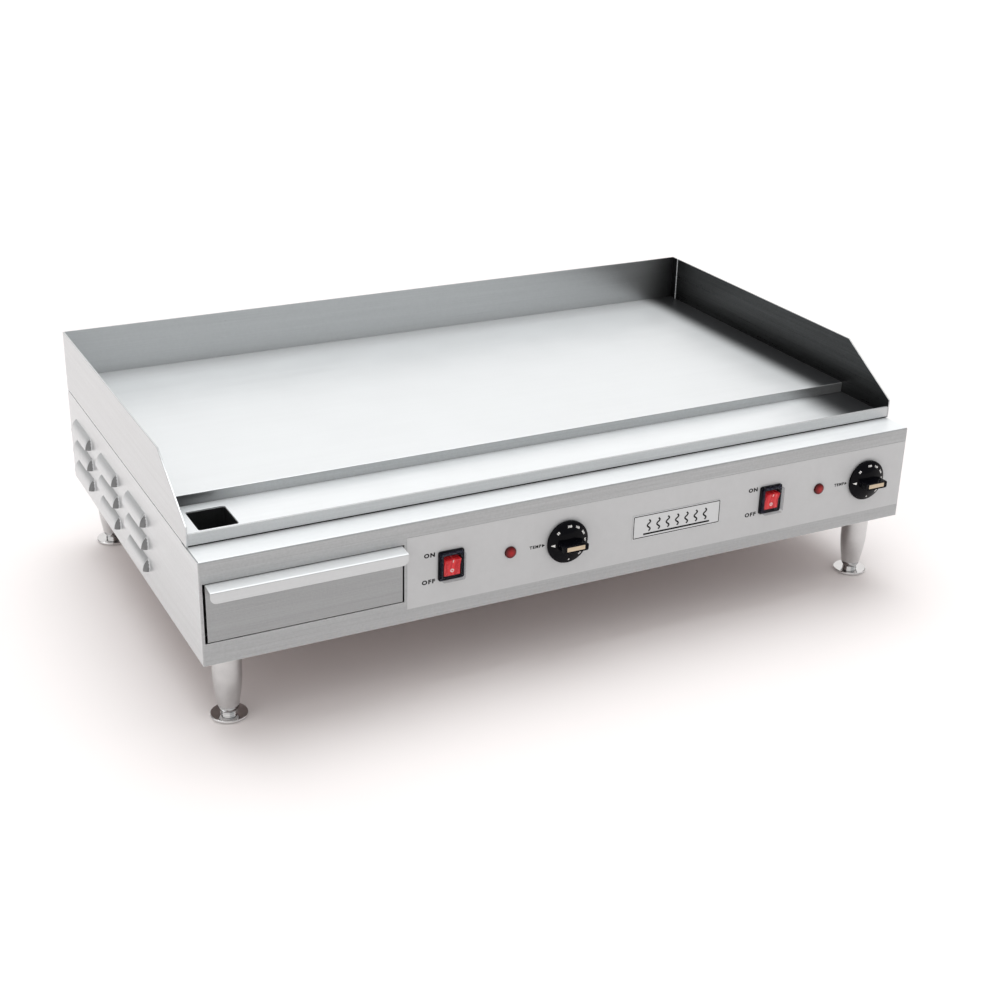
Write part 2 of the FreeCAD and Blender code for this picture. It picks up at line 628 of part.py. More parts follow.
def side_panel(side, sign):
    """Folded sheet with nine pressed louvers, open along their lower edges.

    The body is drawn for the right side and turned half round for the left.
    """
    body = new_body("side_sheet_" + side)
    ends = ("Skin", "BodyDepth") if sign > 0 else ("0", "BodyDepth - Skin")
    flange_ends = ("LedgeDeep + WeldGap", "BodyDepth - Skin")
    if sign < 0:
        flange_ends = ("Skin", "BodyDepth - LedgeDeep - WeldGap")
    wall = sketch_on(body, "YZ_Plane", "wall", "0 - Skin")
    window(wall, ends, ("0", "BodyHeight - Skin"))
    pad(body, wall, "Skin")
    flange = sketch_on(body, "YZ_Plane", "flange", "0 - FlangeWide")
    window(flange, flange_ends, ("BodyHeight - Skin", "BodyHeight"))
    pad(body, flange, "FlangeWide")
    first = "LouverColumn" if sign > 0 else "BodyDepth - LouverColumn - 2*LouverColumnPitch"
    pressed = sketch_on(body, "XZ_Plane", "louver", f"0 - ({first})")
    lift = "LouverRow"
    outer = [(x, f"{lift} + {z}") for x, z in louver_profile("0", "Skin/2")]
    polygon(pressed, outer, {1: "LouverOut*HoodCurve"})
    hood = pad(body, pressed, "LouverLong", middle=True)
    repeat_louvers(body, hood)
    column_ends = [number(f"{first} + {k}*LouverColumnPitch + {e}*LouverLong/2")
                   for k in range(3) for e in (-1, 1)]

    def end_arc(edge):
        middle = edge.CenterOfMass
        on_end = any(abs(middle.y - y) < 0.01 for y in column_ends)
        return on_end and isinstance(edge.Curve, Part.Circle)

    round_edges(body, "LouverRound", end_arc)
    hollow = sketch_on(body, "XZ_Plane", "hollow", f"0 - ({first})")
    inner = [(x, f"{lift} + {z}") for x, z in louver_profile("LouverWall", "2*Skin")]
    polygon(hollow, inner, {1: "(LouverOut - LouverWall)*HoodCurveInside"})
    scoop = pocket(body, hollow, "LouverLong - 2*LouverRound", middle=True)
    repeat_louvers(body, scoop)
    spin = 0 if sign > 0 else 180
    body.Placement = FreeCAD.Placement(V(0, 0, 0), FreeCAD.Rotation(V(0, 0, 1), spin))
    put(body, f"{sign}*{HALF}", FACE if sign > 0 else BACK, "LegHeight")
    node(body, "side_panel_" + side)


def back_and_bottom():
    depth = (f"{BACK} - Skin", BACK)
    rear = join("back_sheet", [
        block("back_face", (f"0 - {INNER}", INNER), depth, (up("Skin"), f"{CASE_TOP} - Skin")),
        block("back_flange", (f"FlangeWide - {HALF}", f"{HALF} - FlangeWide"),
              (f"{BACK} - FlangeWide", BACK), (f"{CASE_TOP} - Skin", CASE_TOP)),
    ])
    hole = rod("gland_hole", "GlandHole", "4*Skin",
               ("GlandX", f"{BACK} - 2*Skin", up("GlandZ")), V(0, 1, 0))
    node(cut("back_panel", rear, hole), "back_panel")

    body = new_body("bottom_panel")
    sketch = sketch_on(body, "XY_Plane", "outline", "LegHeight")
    window(sketch, (f"0 - {INNER}", INNER), (inward("Skin"), f"{BACK} - Skin"))
    for x, y in leg_places().values():
        circle(sketch, (x, y), "ScrewRadius + CutoutGap")
    pad(body, sketch, "Skin")
    node(body, "bottom_panel")


def drawer_bay():
    """The wall beside the drawer and the two angle runners that carry it."""
    wall = block("bay_wall", ("BayWall", "BayWall + Skin"),
                 (inward("FlangeWide + Overrun"), f"{BACK} - 2*Skin"),
                 (up("2*Skin"), up("PanBottom")))
    node(wall, "bay_wall")
    deep = (inward("FlangeWide + Overrun"), inward("TrayDeep + RailExtra"))
    shelf = (up("RailTop - Skin"), up("RailTop"))
    rise = (up("RailTop - Skin"), up("RailTop - Skin + RailHigh"))
    left = f"(0 - {INNER})"
    rails = [
        join("runner_left", [
            block("rail_left_shelf", (left, f"{left} + RailWide"), deep, shelf),
            block("rail_left_rise", (left, f"{left} + Skin"), deep, rise)]),
        join("runner_right", [
            block("rail_right_shelf", ("BayWall - RailWide", "BayWall"), deep, shelf),
            block("rail_right_rise", ("BayWall - Skin", "BayWall"), deep, rise)]),
    ]
    node(group("drawer_runners", rails), "drawer_runners")


def back_screws():
    """Pan-head screws that hold the back panel."""
    screws = []
    for k in range(5):
        for name, row in (("low", "ScrewEdge"), ("high", "BodyHeight - ScrewEdge")):
            at = (f"({k} - 2)*ScrewPitch", BACK, up(row))
            screws.append(rod(f"screw_{k}_{name}", "ScrewHead", "ScrewHeadHigh", at, V(0, 1, 0)))
    node(group("back_screws", screws), "back_screws")


# ------------------------------------------------------------------- controls


def rocker_switch(side, sign):
    """Panel switch: a black case, a tilting red rocker and a clear splash boot."""
    x = zone_x("SwitchX", sign)
    z = up("SwitchZ")
    pivot = inward("SwitchPivot")
    front = inward("0 - OverlayThick")

    def centred(wide, high):
        return (f"{x} - {wide}/2", f"{x} + {wide}/2"), (f"{z} - {high}/2", f"{z} + {high}/2")

    bezel_x, bezel_z = centred("BezelWide", "BezelHigh")
    can_x, can_z = centred("CanWide", "CanHigh")
    rim_x, rim_z = centred("(RockerWide + 2*RockerGap + 2*RimWall)",
                           "(RockerHigh + 2*RockerGap + 2*RimWall)")
    well_x, well_z = centred("(RockerWide + 2*RockerGap)", "(RockerHigh + 2*RockerGap)")
    case = join(f"switch_case_{side}", [
        block(f"bezel_{side}", bezel_x, (f"{front} - BezelThick", front), bezel_z),
        block(f"rim_{side}", rim_x, (inward("0 - RimReach"), front), rim_z),
        block(f"can_{side}", can_x, (front, inward("CanDeep")), can_z),
    ])
    well = block(f"well_{side}", well_x, (inward("0 - RimReach - Overrun"), inward("WellDeep")), well_z)
    sockets = rod(f"pin_sockets_{side}", "PinRadius + PinGap", "RockerWide + 2*PinLong + 2*PinEndGap",
                  (f"{x} - RockerWide/2 - PinLong - PinEndGap", pivot, z), V(1, 0, 0))
    node(cut("switch_body_" + side, case, [well, sockets]), "switch_body_" + side)

    # The two faces meet in a shallow valley; the lower one is pressed in, which is off.
    body = new_body("rocker_block_" + side)
    lean = math.radians(number("RockerLean"))
    rise = number("RockerRise")
    valley = (-rise * math.cos(lean / 2), -rise * math.sin(lean / 2))
    length = number("RockerHigh/2") + valley[1]
    low = (valley[0], valley[1] - length)
    high = (valley[0] - length * math.sin(lean), valley[1] + length * math.cos(lean))
    sketch = sketch_on(body, "YZ_Plane", "profile", f"{x} - RockerWide/2")
    heel = (number("RockerHeel"), -number("RockerTail"))
    toe = (-number("RockerToe"), number("RockerTail"))
    corners = [high, valley, low, heel, toe]
    polygon(sketch, [(f"{pivot} + ({a:.4f})", f"{z} + ({b:.4f})") for a, b in corners])
    pad(body, sketch, "RockerWide")
    pins = rod(f"rocker_pins_{side}", "PinRadius", "RockerWide + 2*PinLong",
               (f"{x} - RockerWide/2 - PinLong", pivot, z), V(1, 0, 0))
    node(join("rocker_" + side, [body, pins]), "rocker_" + side)

    boot_x, boot_z = centred("BootWide", "BootHigh")
    inner_x, inner_z = centred("(BootWide - 2*BootSkin)", "(BootHigh - 2*BootSkin)")
    seat = f"{front} - BezelThick"
    dome = block(f"boot_outside_{side}", boot_x, (inward("0 - BootReach"), seat), boot_z)
    room = block(f"boot_inside_{side}", inner_x,
                 (inward("BootSkin - BootReach"), f"{seat} + Overrun"), inner_z)
    node(cut("switch_boot_" + side, dome, room), "switch_boot_" + side)


def pilot_lamp(side, sign):
    x = zone_x("LampX", sign)
    lens = turned("pilot_lens_" + side, [
        ("0", "0"), ("LensRadius", "0"), ("LensRadius", "LensEdge"), ("0", "LensReach")],
        {2: dome_bulge("LensRadius", "LensReach - LensEdge")})
    put(face_forward(lens), x, inward("0 - OverlayThick"), up("ControlZ"))
    node(lens, "pilot_lens_" + side)
    lamp = rod("pilot_body_" + side, "LampRadius", "LampDeep + OverlayThick",
               (x, inward("0 - OverlayThick"), up("ControlZ")), V(0, 1, 0))
    node(lamp, "pilot_body_" + side)


def thermostat(side, sign):
    x = zone_x("KnobX", sign)
    z = up("ControlZ")
    case = join(f"thermostat_case_{side}", [
        block(f"thermostat_block_{side}", (f"{x} - StatWide/2", f"{x} + StatWide/2"),
              (inward("Skin + StatGap"), inward("Skin + StatGap + StatDeep")),
              (f"{z} - StatHigh/2", f"{z} + StatHigh/2")),
        rod(f"thermostat_neck_{side}", "StatNeck", "Skin + StatGap + Overrun", (x, FACE, z), V(0, 1, 0)),
    ])
    bore = rod(f"thermostat_bore_{side}", "ShaftBore", "ShaftSeat", (x, inward("0 - Overrun"), z), V(0, 1, 0))
    node(cut("thermostat_body_" + side, case, bore), "thermostat_body_" + side)
    shaft = rod("thermostat_shaft_" + side, "ShaftRadius", "ShaftLong",
                (x, inward("0 - ShaftOut"), z), V(0, 1, 0))
    node(shaft, "thermostat_shaft_" + side)


def knob(side, sign):
    """Moulded knob: a domed skirt with a straight grip bar and a pale strip let into the bar."""
    x = zone_x("KnobX", sign)
    z = up("ControlZ")
    skirt = turned("knob_skirt_" + side, [
        ("0", "KnobGap"), ("KnobRadius", "KnobGap"), ("KnobRadius", "KnobSkirt"), ("0", "KnobDome")],
        {2: dome_bulge("KnobRadius", "KnobDome - KnobSkirt")})
    put(face_forward(skirt), x, FACE, z)
    grip = block(f"knob_grip_{side}", (f"{x} - BarKnobLong/2", f"{x} + BarKnobLong/2"),
                 (inward("0 - Reach"), inward("0 - KnobSkirt")),
                 (f"{z} - BarKnobWide/2", f"{z} + BarKnobWide/2"))
    strip = ((f"{x} - InsertLong/2", f"{x} + InsertLong/2"),
             (inward("InsertSink - Reach"), inward("InsertDeep - Reach")),
             (f"{z} - InsertWide/2", f"{z} + InsertWide/2"))
    slot = block(f"knob_slot_{side}", strip[0], (inward("0 - Reach - Overrun"), strip[1][1]), strip[2])
    bore = rod(f"knob_bore_{side}", "ShaftRadius", "ShaftLong", (x, inward("0 - ShaftOut"), z), V(0, 1, 0))
    moulding = join(f"knob_moulding_{side}", [skirt, grip])
    node(cut("knob_" + side, moulding, [slot, bore]), "knob_" + side)
    node(block("knob_insert_" + side, *strip), "knob_insert_" + side)


# ------------------------------------------------------------ the grease drawer


def drawer():
    floor = (up("TrayBottom"), up("TrayTop"))
    outside = rounded_block("tray_outside", ("TrayLeft", "TrayRight"),
                            (inward("FrontSkin"), inward("TrayDeep")), floor, "TrayRound")
    inside = rounded_block("tray_inside", ("TrayLeft + TraySkin", "TrayRight - TraySkin"),
                           (inward("FrontSkin + TraySkin"), inward("TrayDeep - TraySkin")),
                           (up("TrayBottom + TraySkin"), up("TrayTop + Overrun")), "TrayRound - TraySkin")
    node(cut("drawer_tray", outside, inside), "drawer_tray")
    front = block("drawer_front", ("FrontLeft", "FrontRight"), (FACE, inward("FrontSkin")),
                  (up("FrontBottom"), up("FrontTop")))
    node(front, "drawer_front")

    # Finger pull: a strip over the top of the front, turned down into a lip.
    body = new_body("drawer_handle")
    lip = inward("0 - HandleReach")
    profile = [
        (lip, up("HandleBottom")), (f"{lip} + Skin", up("HandleBottom")),
        (f"{lip} + Skin", up("FrontTop - HandleFall")), (FACE, up("FrontTop")),
        (inward("FrontSkin"), up("FrontTop")),
        (inward("FrontSkin"), up("HandleTop")), (FACE, up("HandleTop")), (lip, up("HandleTop - HandleFall")),
    ]
    sketch = sketch_on(body, "YZ_Plane", "profile", "FrontLeft")
    polygon(sketch, profile)
    pad(body, sketch, "FrontRight - FrontLeft")
    low = number(up("HandleBottom"))
    nose = number(lip)

    def lip_corner(edge):
        return runs_along(edge, V(0, 1, 0)) and abs(edge.CenterOfMass.z - low) < 0.01

    def lip_bend(edge):
        middle = edge.CenterOfMass
        return runs_along(edge, V(1, 0, 0)) and abs(middle.y - nose) < 0.01 and middle.z > low + 5

    round_edges(body, "HandleRound", lip_corner)
    round_edges(body, "BendRadius", lip_bend)
    node(body, "drawer_handle")


# -------------------------------------------------------------- legs and feet


def leg_places():
    across = f"({HALF} - LegInset)"
    rows = {"front": inward("LegInset"), "rear": f"({BACK} - LegInsetRear)"}
    return {f"{row}_{side}": (f"{sign}*{across}", y)
            for row, y in rows.items() for side, sign in (("left", -1), ("right", 1))}


def leg_and_foot(name, x, y):
    leg = turned("leg_sleeve_" + name, [
        ("ScrewBore", "LegBottom"), ("LegLowRadius", "LegBottom"), ("LegWaistRadius", "LegWaist"),
        ("LegShoulderRadius", "LegShoulder"), ("LegTopRadius", "LegHeight"), ("ScrewBore", "LegHeight")],
        {1: "LegBellyLow", 2: "LegBellyHigh"})
    put(leg, x, y, 0)
    stud = rod("leg_stud_" + name, "ScrewRadius", "LegStudLong + LegPlug", (x, y, "LegHeight - LegPlug"))
    plug = rod("leg_plug_" + name, "ScrewBore + 1", "LegPlug", (x, y, "LegHeight - LegPlug"))
    node(join("leg_" + name, [leg, plug, stud]), "leg_" + name)
    foot = turned("foot_" + name, [
        ("0", "0"), ("FootRadius - FootTaper", "0"), ("FootRadius", "FootRimLow"),
        ("FootRadius", "FootThick - FootRimFall"), ("FootRadius - FootRimIn", "FootThick"),
        ("FootHub", "FootThick"), ("FootHub", "FootHubTop"),
        ("ScrewRadius", "FootHubTop"), ("ScrewRadius", "FootHubTop + ScrewLong"),
        ("0", "FootHubTop + ScrewLong")], {1: "FootSwell", 3: "FootSwell"})
    put(foot, x, y, 0)
    node(foot, "foot_" + name)


def leg_nuts():
    nuts = []
    for name, (x, y) in leg_places().items():
        blank = doc.addObject("Part::Prism", "leg_nut_blank_" + name)
        blank.Polygon = 6
        bind(blank, Circumradius="LegNutCorner", Height="LegNutHigh")
        put(blank, x, y, up("Skin"))
        bore = rod("leg_nut_bore_" + name, "ScrewRadius + ThreadGap", "2*LegNutHigh", (x, y, "LegHeight"))
        nuts.append(cut("leg_nut_" + name, blank, bore))
    node(group("leg_nuts", nuts), "leg_nuts")


# ------------------------------------------------------------- supply entry


def supply_entry():
    """Cable gland through the back panel, its lock nut, and the terminal block inside."""
    z = up("GlandZ")
    rear = V(0, 1, 0)
    outside = join("gland_outside", [
        rod("gland_thread", "GlandThread", "GlandThreadLong", ("GlandX", f"{BACK} - GlandInside", z), rear),
        rod("gland_flange", "GlandFlange", "GlandFlangeThick", ("GlandX", BACK, z), rear),
        rod("gland_dome", "GlandDome", "Reach", ("GlandX", BACK, z), rear),
    ])
    throat = rod("gland_throat", "GlandBore", "Reach + 2*GlandThreadLong",
                 ("GlandX", f"{BACK} - GlandThreadLong", z), rear)
    node(cut("cable_gland", outside, throat), "cable_gland")
    strip = block("terminal_outside", ("GlandX - TerminalHalf", "GlandX + TerminalHalf"),
                  (f"{BACK} - TerminalFront", f"{BACK} - TerminalRear"), (up("2*Skin"), up("TerminalTop")))
    wire_holes = []
    for k in range(4):
        at = (f"GlandX + ({k} - 1.5)*TerminalPitch", f"{BACK} - TerminalFront - Overrun", up("TerminalHoleZ"))
        wire_holes.append(rod(f"terminal_hole_{k}", "TerminalHole", "TerminalFront", at, rear))
    node(cut("terminal_block", strip, wire_holes), "terminal_block")


griddle_plate()
splash_guards()
grease_trough()
drain_chute()
top_seal()
clamp_hardware()
insulation_and_pan()
front_panel()
control_overlay()
back_and_bottom()
drawer_bay()
back_screws()
drawer()
leg_nuts()
supply_entry()
for side_name, side_sign in (("left", -1), ("right", 1)):
    serpentine(side_name, side_sign)
    bulb_and_capillary(side_name, side_sign)
    side_panel(side_name, side_sign)
    rocker_switch(side_name, side_sign)
    pilot_lamp(side_name, side_sign)
    thermostat(side_name, side_sign)
    knob(side_name, side_sign)
for leg_name, (leg_x, leg_y) in leg_places().items():
    leg_and_foot(leg_name, leg_x, leg_y)

doc.recompute()
faults = [thing.Name for thing in doc.Objects if {"Invalid", "Error"} & set(thing.State)]
faults += [thing.Label for thing in nodes if thing.Shape.isNull() or not thing.Shape.isValid()]
if faults:
    raise RuntimeError("failed: " + ", ".join(faults))

os.makedirs("parts", exist_ok=True)
whole = FreeCAD.BoundBox()
for thing in nodes:
    thing.Shape.exportStep(f"parts/{thing.Label}.step")
    whole.add(thing.Shape.BoundBox)
    solids = len(thing.Shape.Solids)
    print(f"{thing.Label:32s} solids {solids}  volume {thing.Shape.Volume / 1000:10.2f} cm3")
print(len(nodes), "nodes;", whole)
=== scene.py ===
import json
import math

import bmesh
import bpy
from mathutils import Matrix, Vector, noise

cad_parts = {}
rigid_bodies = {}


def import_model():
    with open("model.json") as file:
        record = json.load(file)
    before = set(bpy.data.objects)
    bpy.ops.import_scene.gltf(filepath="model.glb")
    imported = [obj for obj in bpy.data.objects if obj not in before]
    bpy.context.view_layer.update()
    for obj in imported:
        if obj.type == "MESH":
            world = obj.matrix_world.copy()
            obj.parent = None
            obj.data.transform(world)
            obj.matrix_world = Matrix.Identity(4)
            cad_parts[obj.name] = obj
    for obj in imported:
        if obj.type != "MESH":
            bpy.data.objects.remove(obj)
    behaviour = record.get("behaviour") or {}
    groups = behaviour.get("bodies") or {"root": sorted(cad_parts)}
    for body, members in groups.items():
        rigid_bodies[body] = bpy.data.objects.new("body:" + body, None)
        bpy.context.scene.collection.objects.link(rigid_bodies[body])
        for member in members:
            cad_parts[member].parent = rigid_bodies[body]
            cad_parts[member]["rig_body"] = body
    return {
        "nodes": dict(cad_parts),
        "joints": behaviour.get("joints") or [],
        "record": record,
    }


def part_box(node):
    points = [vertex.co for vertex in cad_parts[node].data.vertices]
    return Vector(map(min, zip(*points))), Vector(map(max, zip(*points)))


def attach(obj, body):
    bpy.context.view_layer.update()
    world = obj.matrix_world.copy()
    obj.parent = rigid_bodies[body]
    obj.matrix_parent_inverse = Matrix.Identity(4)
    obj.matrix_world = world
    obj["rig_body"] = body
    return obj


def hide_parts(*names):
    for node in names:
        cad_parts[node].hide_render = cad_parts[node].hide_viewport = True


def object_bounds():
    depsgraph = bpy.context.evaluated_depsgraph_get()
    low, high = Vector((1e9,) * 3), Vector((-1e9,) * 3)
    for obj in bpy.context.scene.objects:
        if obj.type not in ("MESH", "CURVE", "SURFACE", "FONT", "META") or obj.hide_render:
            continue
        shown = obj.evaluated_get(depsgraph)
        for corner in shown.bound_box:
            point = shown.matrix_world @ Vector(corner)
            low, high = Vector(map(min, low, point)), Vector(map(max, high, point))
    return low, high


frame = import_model()
cad_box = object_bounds()

# ---------------------------------------------------------------- case floor
# The case floor is galvanised sheet, punched for the four leg studs and let
# into the shell. It is never polished, so its zinc spangle is left bare. Its
# darker, warm tone is painted shade for the shadow under the case.

mm = 0.001
scene = bpy.context.scene
slot_of = {row["node"]: row["material_slot"] for row in frame["record"]["subparts"]}


def recipe(name):
    """A new material, with its shader and a way to add and join nodes."""
    material = bpy.data.materials.new(name)
    material.use_nodes = True
    tree = material.node_tree
    shader = tree.nodes["Principled BSDF"]

    def add(kind, **settings):
        made = tree.nodes.new("ShaderNode" + kind)
        for key, value in settings.items():
            if key.startswith("in_"):
                made.inputs[key[3:].replace("_", " ")].default_value = value
            else:
                setattr(made, key, value)
        return made

    return material, shader, add, tree.links.new


def grained(add, join, source, name, stretch, detail=3.0):
    """Noise drawn out by a different amount along each axis, read at the piece's own coordinates."""
    lay = add("Mapping", in_Scale=stretch, label=name)
    noise_node = add("TexNoise", in_Scale=1.0, in_Detail=detail, in_Roughness=0.62)
    join(source.outputs["Object"], lay.inputs["Vector"])
    join(lay.outputs["Vector"], noise_node.inputs["Vector"])
    return noise_node.outputs["Fac"]


def ranged(add, join, value, low, high, to_low, to_high):
    """One value's span laid onto another."""
    laid = add("MapRange")
    for place, number in zip(("From Min", "From Max", "To Min", "To Max"), (low, high, to_low, to_high)):
        laid.inputs[place].default_value = number
    join(value, laid.inputs["Value"])
    return laid.outputs["Result"]


def between(add, join, value, dark, light, low=0.0, high=1.0):
    """A colour that runs from dark to light as a value rises from low to high."""
    shades = add("ValToRGB")
    for stop, place, tone in zip(shades.color_ramp.elements, (low, high), (dark, light)):
        stop.position = place
        stop.color = (*[min(1, c) for c in tone], 1)
    join(value, shades.inputs["Fac"])
    return shades.outputs["Color"]


def textured(add, join, shader, height, strength, depth):
    """Gives a material a fine relief that follows a value."""
    relief = add("Bump", in_Strength=strength, in_Distance=depth)
    join(height, relief.inputs["Height"])
    join(relief.outputs["Normal"], shader.inputs["Normal"])


def spangled(name, tone, grain_size):
    """Hot-dip zinc: dull crystals of slightly different greys."""
    material, shader, add, join = recipe(name)
    source = add("TexCoord")
    cells = add("TexVoronoi", in_Scale=1 / grain_size)
    cloud = grained(add, join, source, "bloom", (14, 14, 14))
    join(source.outputs["Object"], cells.inputs["Vector"])
    crystals = between(add, join, cells.outputs["Color"], [0.8 * c for c in tone], [1.12 * c for c in tone])
    join(crystals, shader.inputs["Base Color"])
    join(ranged(add, join, cloud, 0.3, 0.7, 0.38, 0.55), shader.inputs["Roughness"])
    textured(add, join, shader, cells.outputs["Distance"], 0.12, 0.1 * mm)
    shader.inputs["Metallic"].default_value = 0.92
    return material


def dressed(node, material):
    """A part of the frame whose own shape is right gets its finish."""
    frame["nodes"][node].material_slots[0].material = material


# Painted shade: the case floor's zinc is toned dark and warm for the shade beneath the machine.
dressed("bottom_panel", spangled("underside_shade_zinc", (0.45, 0.395, 0.385), 9 * mm))

# --------------------------------------------------------------- side sheets
# Each side is one brushed stainless sheet, folded in along its edges, with nine
# louvers pressed outwards, open along the lower edge. The front noses are given a
# dark finish as painted shade and reflection.


def brushed(name, tone, run, metal=0.75, rough=0.34, streak=0.10, blotch=4 * mm, scratch=0.08, edge_wear_and_sheen=0.25,
            painted_darkening=None):
    """Stainless sheet with a belt-ground grain that runs along one axis, paler along its edges, partly from
    rubbing wear and partly as a painted highlight.

    Where painted_darkening is given, as an axis and two places on it, the sheet darkens from the first to the
    second: painted shade and reflection.
    """
    tint = (0.972, 1.0, 1.012)
    material, shader, add, join = recipe(name)
    source = add("TexCoord")
    fine = [1100.0, 1100.0, 1100.0]
    broad = [130.0, 130.0, 130.0]
    axis = "XYZ".index(run)
    fine[axis] = 9.0
    broad[axis] = 1.6
    hair = grained(add, join, source, "hairlines", fine)
    band = grained(add, join, source, "belt passes", broad)
    haze = grained(add, join, source, "mill mottle", (1 / blotch,) * 3, detail=4.0)
    blend = add("Math", operation="MULTIPLY_ADD")
    blend.inputs[1].default_value = 0.42
    join(hair, blend.inputs[0])
    thinner = add("Math", operation="MULTIPLY")
    thinner.inputs[1].default_value = 0.28
    join(band, thinner.inputs[0])
    join(thinner.outputs[0], blend.inputs[2])
    mixed = add("Math", operation="MULTIPLY_ADD")
    mixed.inputs[1].default_value = 0.30
    join(haze, mixed.inputs[0])
    join(blend.outputs[0], mixed.inputs[2])
    colour = between(add, join, mixed.outputs[0], [tone * (1 - streak) * t for t in tint],
                     [tone * (1 + streak) * t for t in tint], 0.30, 0.70)
    # Painted reflection and shade: near-black laid on along one axis, for dark reflections and shade on the
    # sheet.
    if painted_darkening:
        along, clean, darkest_at = painted_darkening
        parts = add("SeparateXYZ")
        join(source.outputs["Object"], parts.inputs[0])
        drift = add("Math", operation="MULTIPLY_ADD")
        drift.inputs[1].default_value = 0.16 * (darkest_at - clean)
        join(mixed.outputs[0], drift.inputs[0])
        join(parts.outputs["XYZ".index(along)], drift.inputs[2])
        darkening_amount = add("MapRange", interpolation_type="SMOOTHERSTEP")
        darkening_amount.inputs["From Min"].default_value = clean + 0.08 * (darkest_at - clean)
        darkening_amount.inputs["From Max"].default_value = darkest_at + 0.08 * (darkest_at - clean)
        join(drift.outputs[0], darkening_amount.inputs["Value"])
        darkened = add("Mix", data_type="RGBA")
        darkened.inputs["B"].default_value = (0.035, 0.036, 0.038, 1)
        join(darkening_amount.outputs["Result"], darkened.inputs["Factor"])
        join(colour, darkened.inputs["A"])
        colour = darkened.outputs["Result"]
    # Edges pale towards near-white: partly rubbing wear, partly a painted highlight where rounded edges catch
    # the light.
    if edge_wear_and_sheen:
        rounded = add("Bevel", samples=4, in_Radius=1.1 * mm)
        flat = add("NewGeometry")
        facing = add("VectorMath", operation="DOT_PRODUCT")
        join(rounded.outputs["Normal"], facing.inputs[0])
        join(flat.outputs["Normal"], facing.inputs[1])
        edge = ranged(add, join, facing.outputs["Value"], 0.995, 0.82, 0.0, edge_wear_and_sheen)
        paled_edges = add("Mix", data_type="RGBA")
        paled_edges.inputs["B"].default_value = (0.95, 0.95, 0.95, 1)
        join(edge, paled_edges.inputs["Factor"])
        join(colour, paled_edges.inputs["A"])
        colour = paled_edges.outputs["Result"]
    join(colour, shader.inputs["Base Color"])
    roughness = ranged(add, join, mixed.outputs[0], 0.3, 0.7, rough - 0.06, rough + 0.06)
    join(roughness, shader.inputs["Roughness"])
    textured(add, join, shader, hair, scratch, 0.12 * mm)
    shader.inputs["Metallic"].default_value = metal
    return material


def standing_for(piece, slot, *nodes):
    """The piece takes the place of parts of the frame, and rides where they ride."""
    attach(piece, frame["nodes"][nodes[0]]["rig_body"])
    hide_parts(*nodes)
    return piece


def piece_from(name, shape, material, sharp=35):
    """Turns a bmesh into a smooth-shaded piece at the origin, with hard creases past an angle."""
    mesh = bpy.data.meshes.new(name)
    shape.to_mesh(mesh)
    shape.free()
    stale = mesh.attributes.get("custom_normal")
    if stale:
        mesh.attributes.remove(stale)
    mesh.materials.clear()
    mesh.materials.append(material)
    mesh.shade_smooth()
    mesh.set_sharp_from_angle(angle=math.radians(sharp))
    piece = bpy.data.objects.new(name, mesh)
    scene.collection.objects.link(piece)
    return piece


def ease_edges(piece, width, segments=2, angle=35):
    """Takes the burr off every edge sharper than an angle."""
    burr = piece.modifiers.new("eased edges", "BEVEL")
    burr.width = width
    burr.segments = segments
    burr.limit_method = "ANGLE"
    burr.angle_limit = math.radians(angle)
    burr.use_clamp_overlap = True
    level = piece.modifiers.new("level faces", "WEIGHTED_NORMAL")
    level.keep_sharp = True
    return piece


def outline_of(*nodes):
    """Parts of the frame as one clean mesh: doubles merged, flat faces in one piece."""
    shape = bmesh.new()
    for node in nodes:
        shape.from_mesh(frame["nodes"][node].data)
    bmesh.ops.remove_doubles(shape, verts=shape.verts, dist=0.002 * mm)
    bmesh.ops.dissolve_limit(shape, angle_limit=math.radians(0.4), verts=shape.verts, edges=shape.edges)
    return shape


def eased(name, node, material, edge):
    """A copy of one part with its edges eased, standing for it."""
    piece = piece_from(name, outline_of(node), material)
    ease_edges(piece, edge)
    return standing_for(piece, slot_of[node], node)


def second_finish(piece, material, chosen):
    """Gives the faces that pass a test a finish of their own."""
    piece.data.materials.append(material)
    for face in piece.data.polygons:
        if chosen(face):
            face.material_index = 1


side_steel = brushed("side_sheet_steel", 0.68, "Y", streak=0.12, blotch=3 * mm, edge_wear_and_sheen=0.2)
# Painted shade: the forward-facing louver noses get a dark copy of the sheet finish.
nose_shade_steel = brushed("louver_nose_painted_shade", 0.20, "Z", metal=0.9, rough=0.36, streak=0.2, edge_wear_and_sheen=0.0)
clear_of_skin = 2 * mm
for side, outwards in (("left", -1), ("right", 1)):
    sheet = eased(f"{side}_side_sheet", f"side_panel_{side}", side_steel, 0.35 * mm)
    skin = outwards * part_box("bottom_panel")[1].x
    second_finish(sheet, nose_shade_steel, lambda face: (
        face.normal.y < -0.45 and outwards * (face.center.x - skin) > clear_of_skin))

# ------------------------------------------------------- back sheet and screws
# A plain brushed sheet closes the back, held by ten pan-head screws that are
# driven into the side and floor flanges, each stopped at its own angle.

back_steel = brushed("back_sheet_steel", 0.66, "X", rough=0.36, streak=0.08, edge_wear_and_sheen=0.2)
eased("back_sheet", "back_panel", back_steel, 0.3 * mm)


def plated(name, tone, rough, tint=(1.0, 1.0, 1.0)):
    """Bright zinc or nickel plate, a little uneven."""
    material, shader, add, join = recipe(name)
    source = add("TexCoord")
    cloud = grained(add, join, source, "plating", (220, 220, 220), detail=4.0)
    patches = between(add, join, cloud, [0.82 * tone * t for t in tint], [1.1 * tone * t for t in tint])
    join(patches, shader.inputs["Base Color"])
    join(ranged(add, join, cloud, 0.3, 0.7, rough - 0.06, rough + 0.1), shader.inputs["Roughness"])
    textured(add, join, shader, cloud, 0.06, 0.05 * mm)
    shader.inputs["Metallic"].default_value = 1.0
    return material


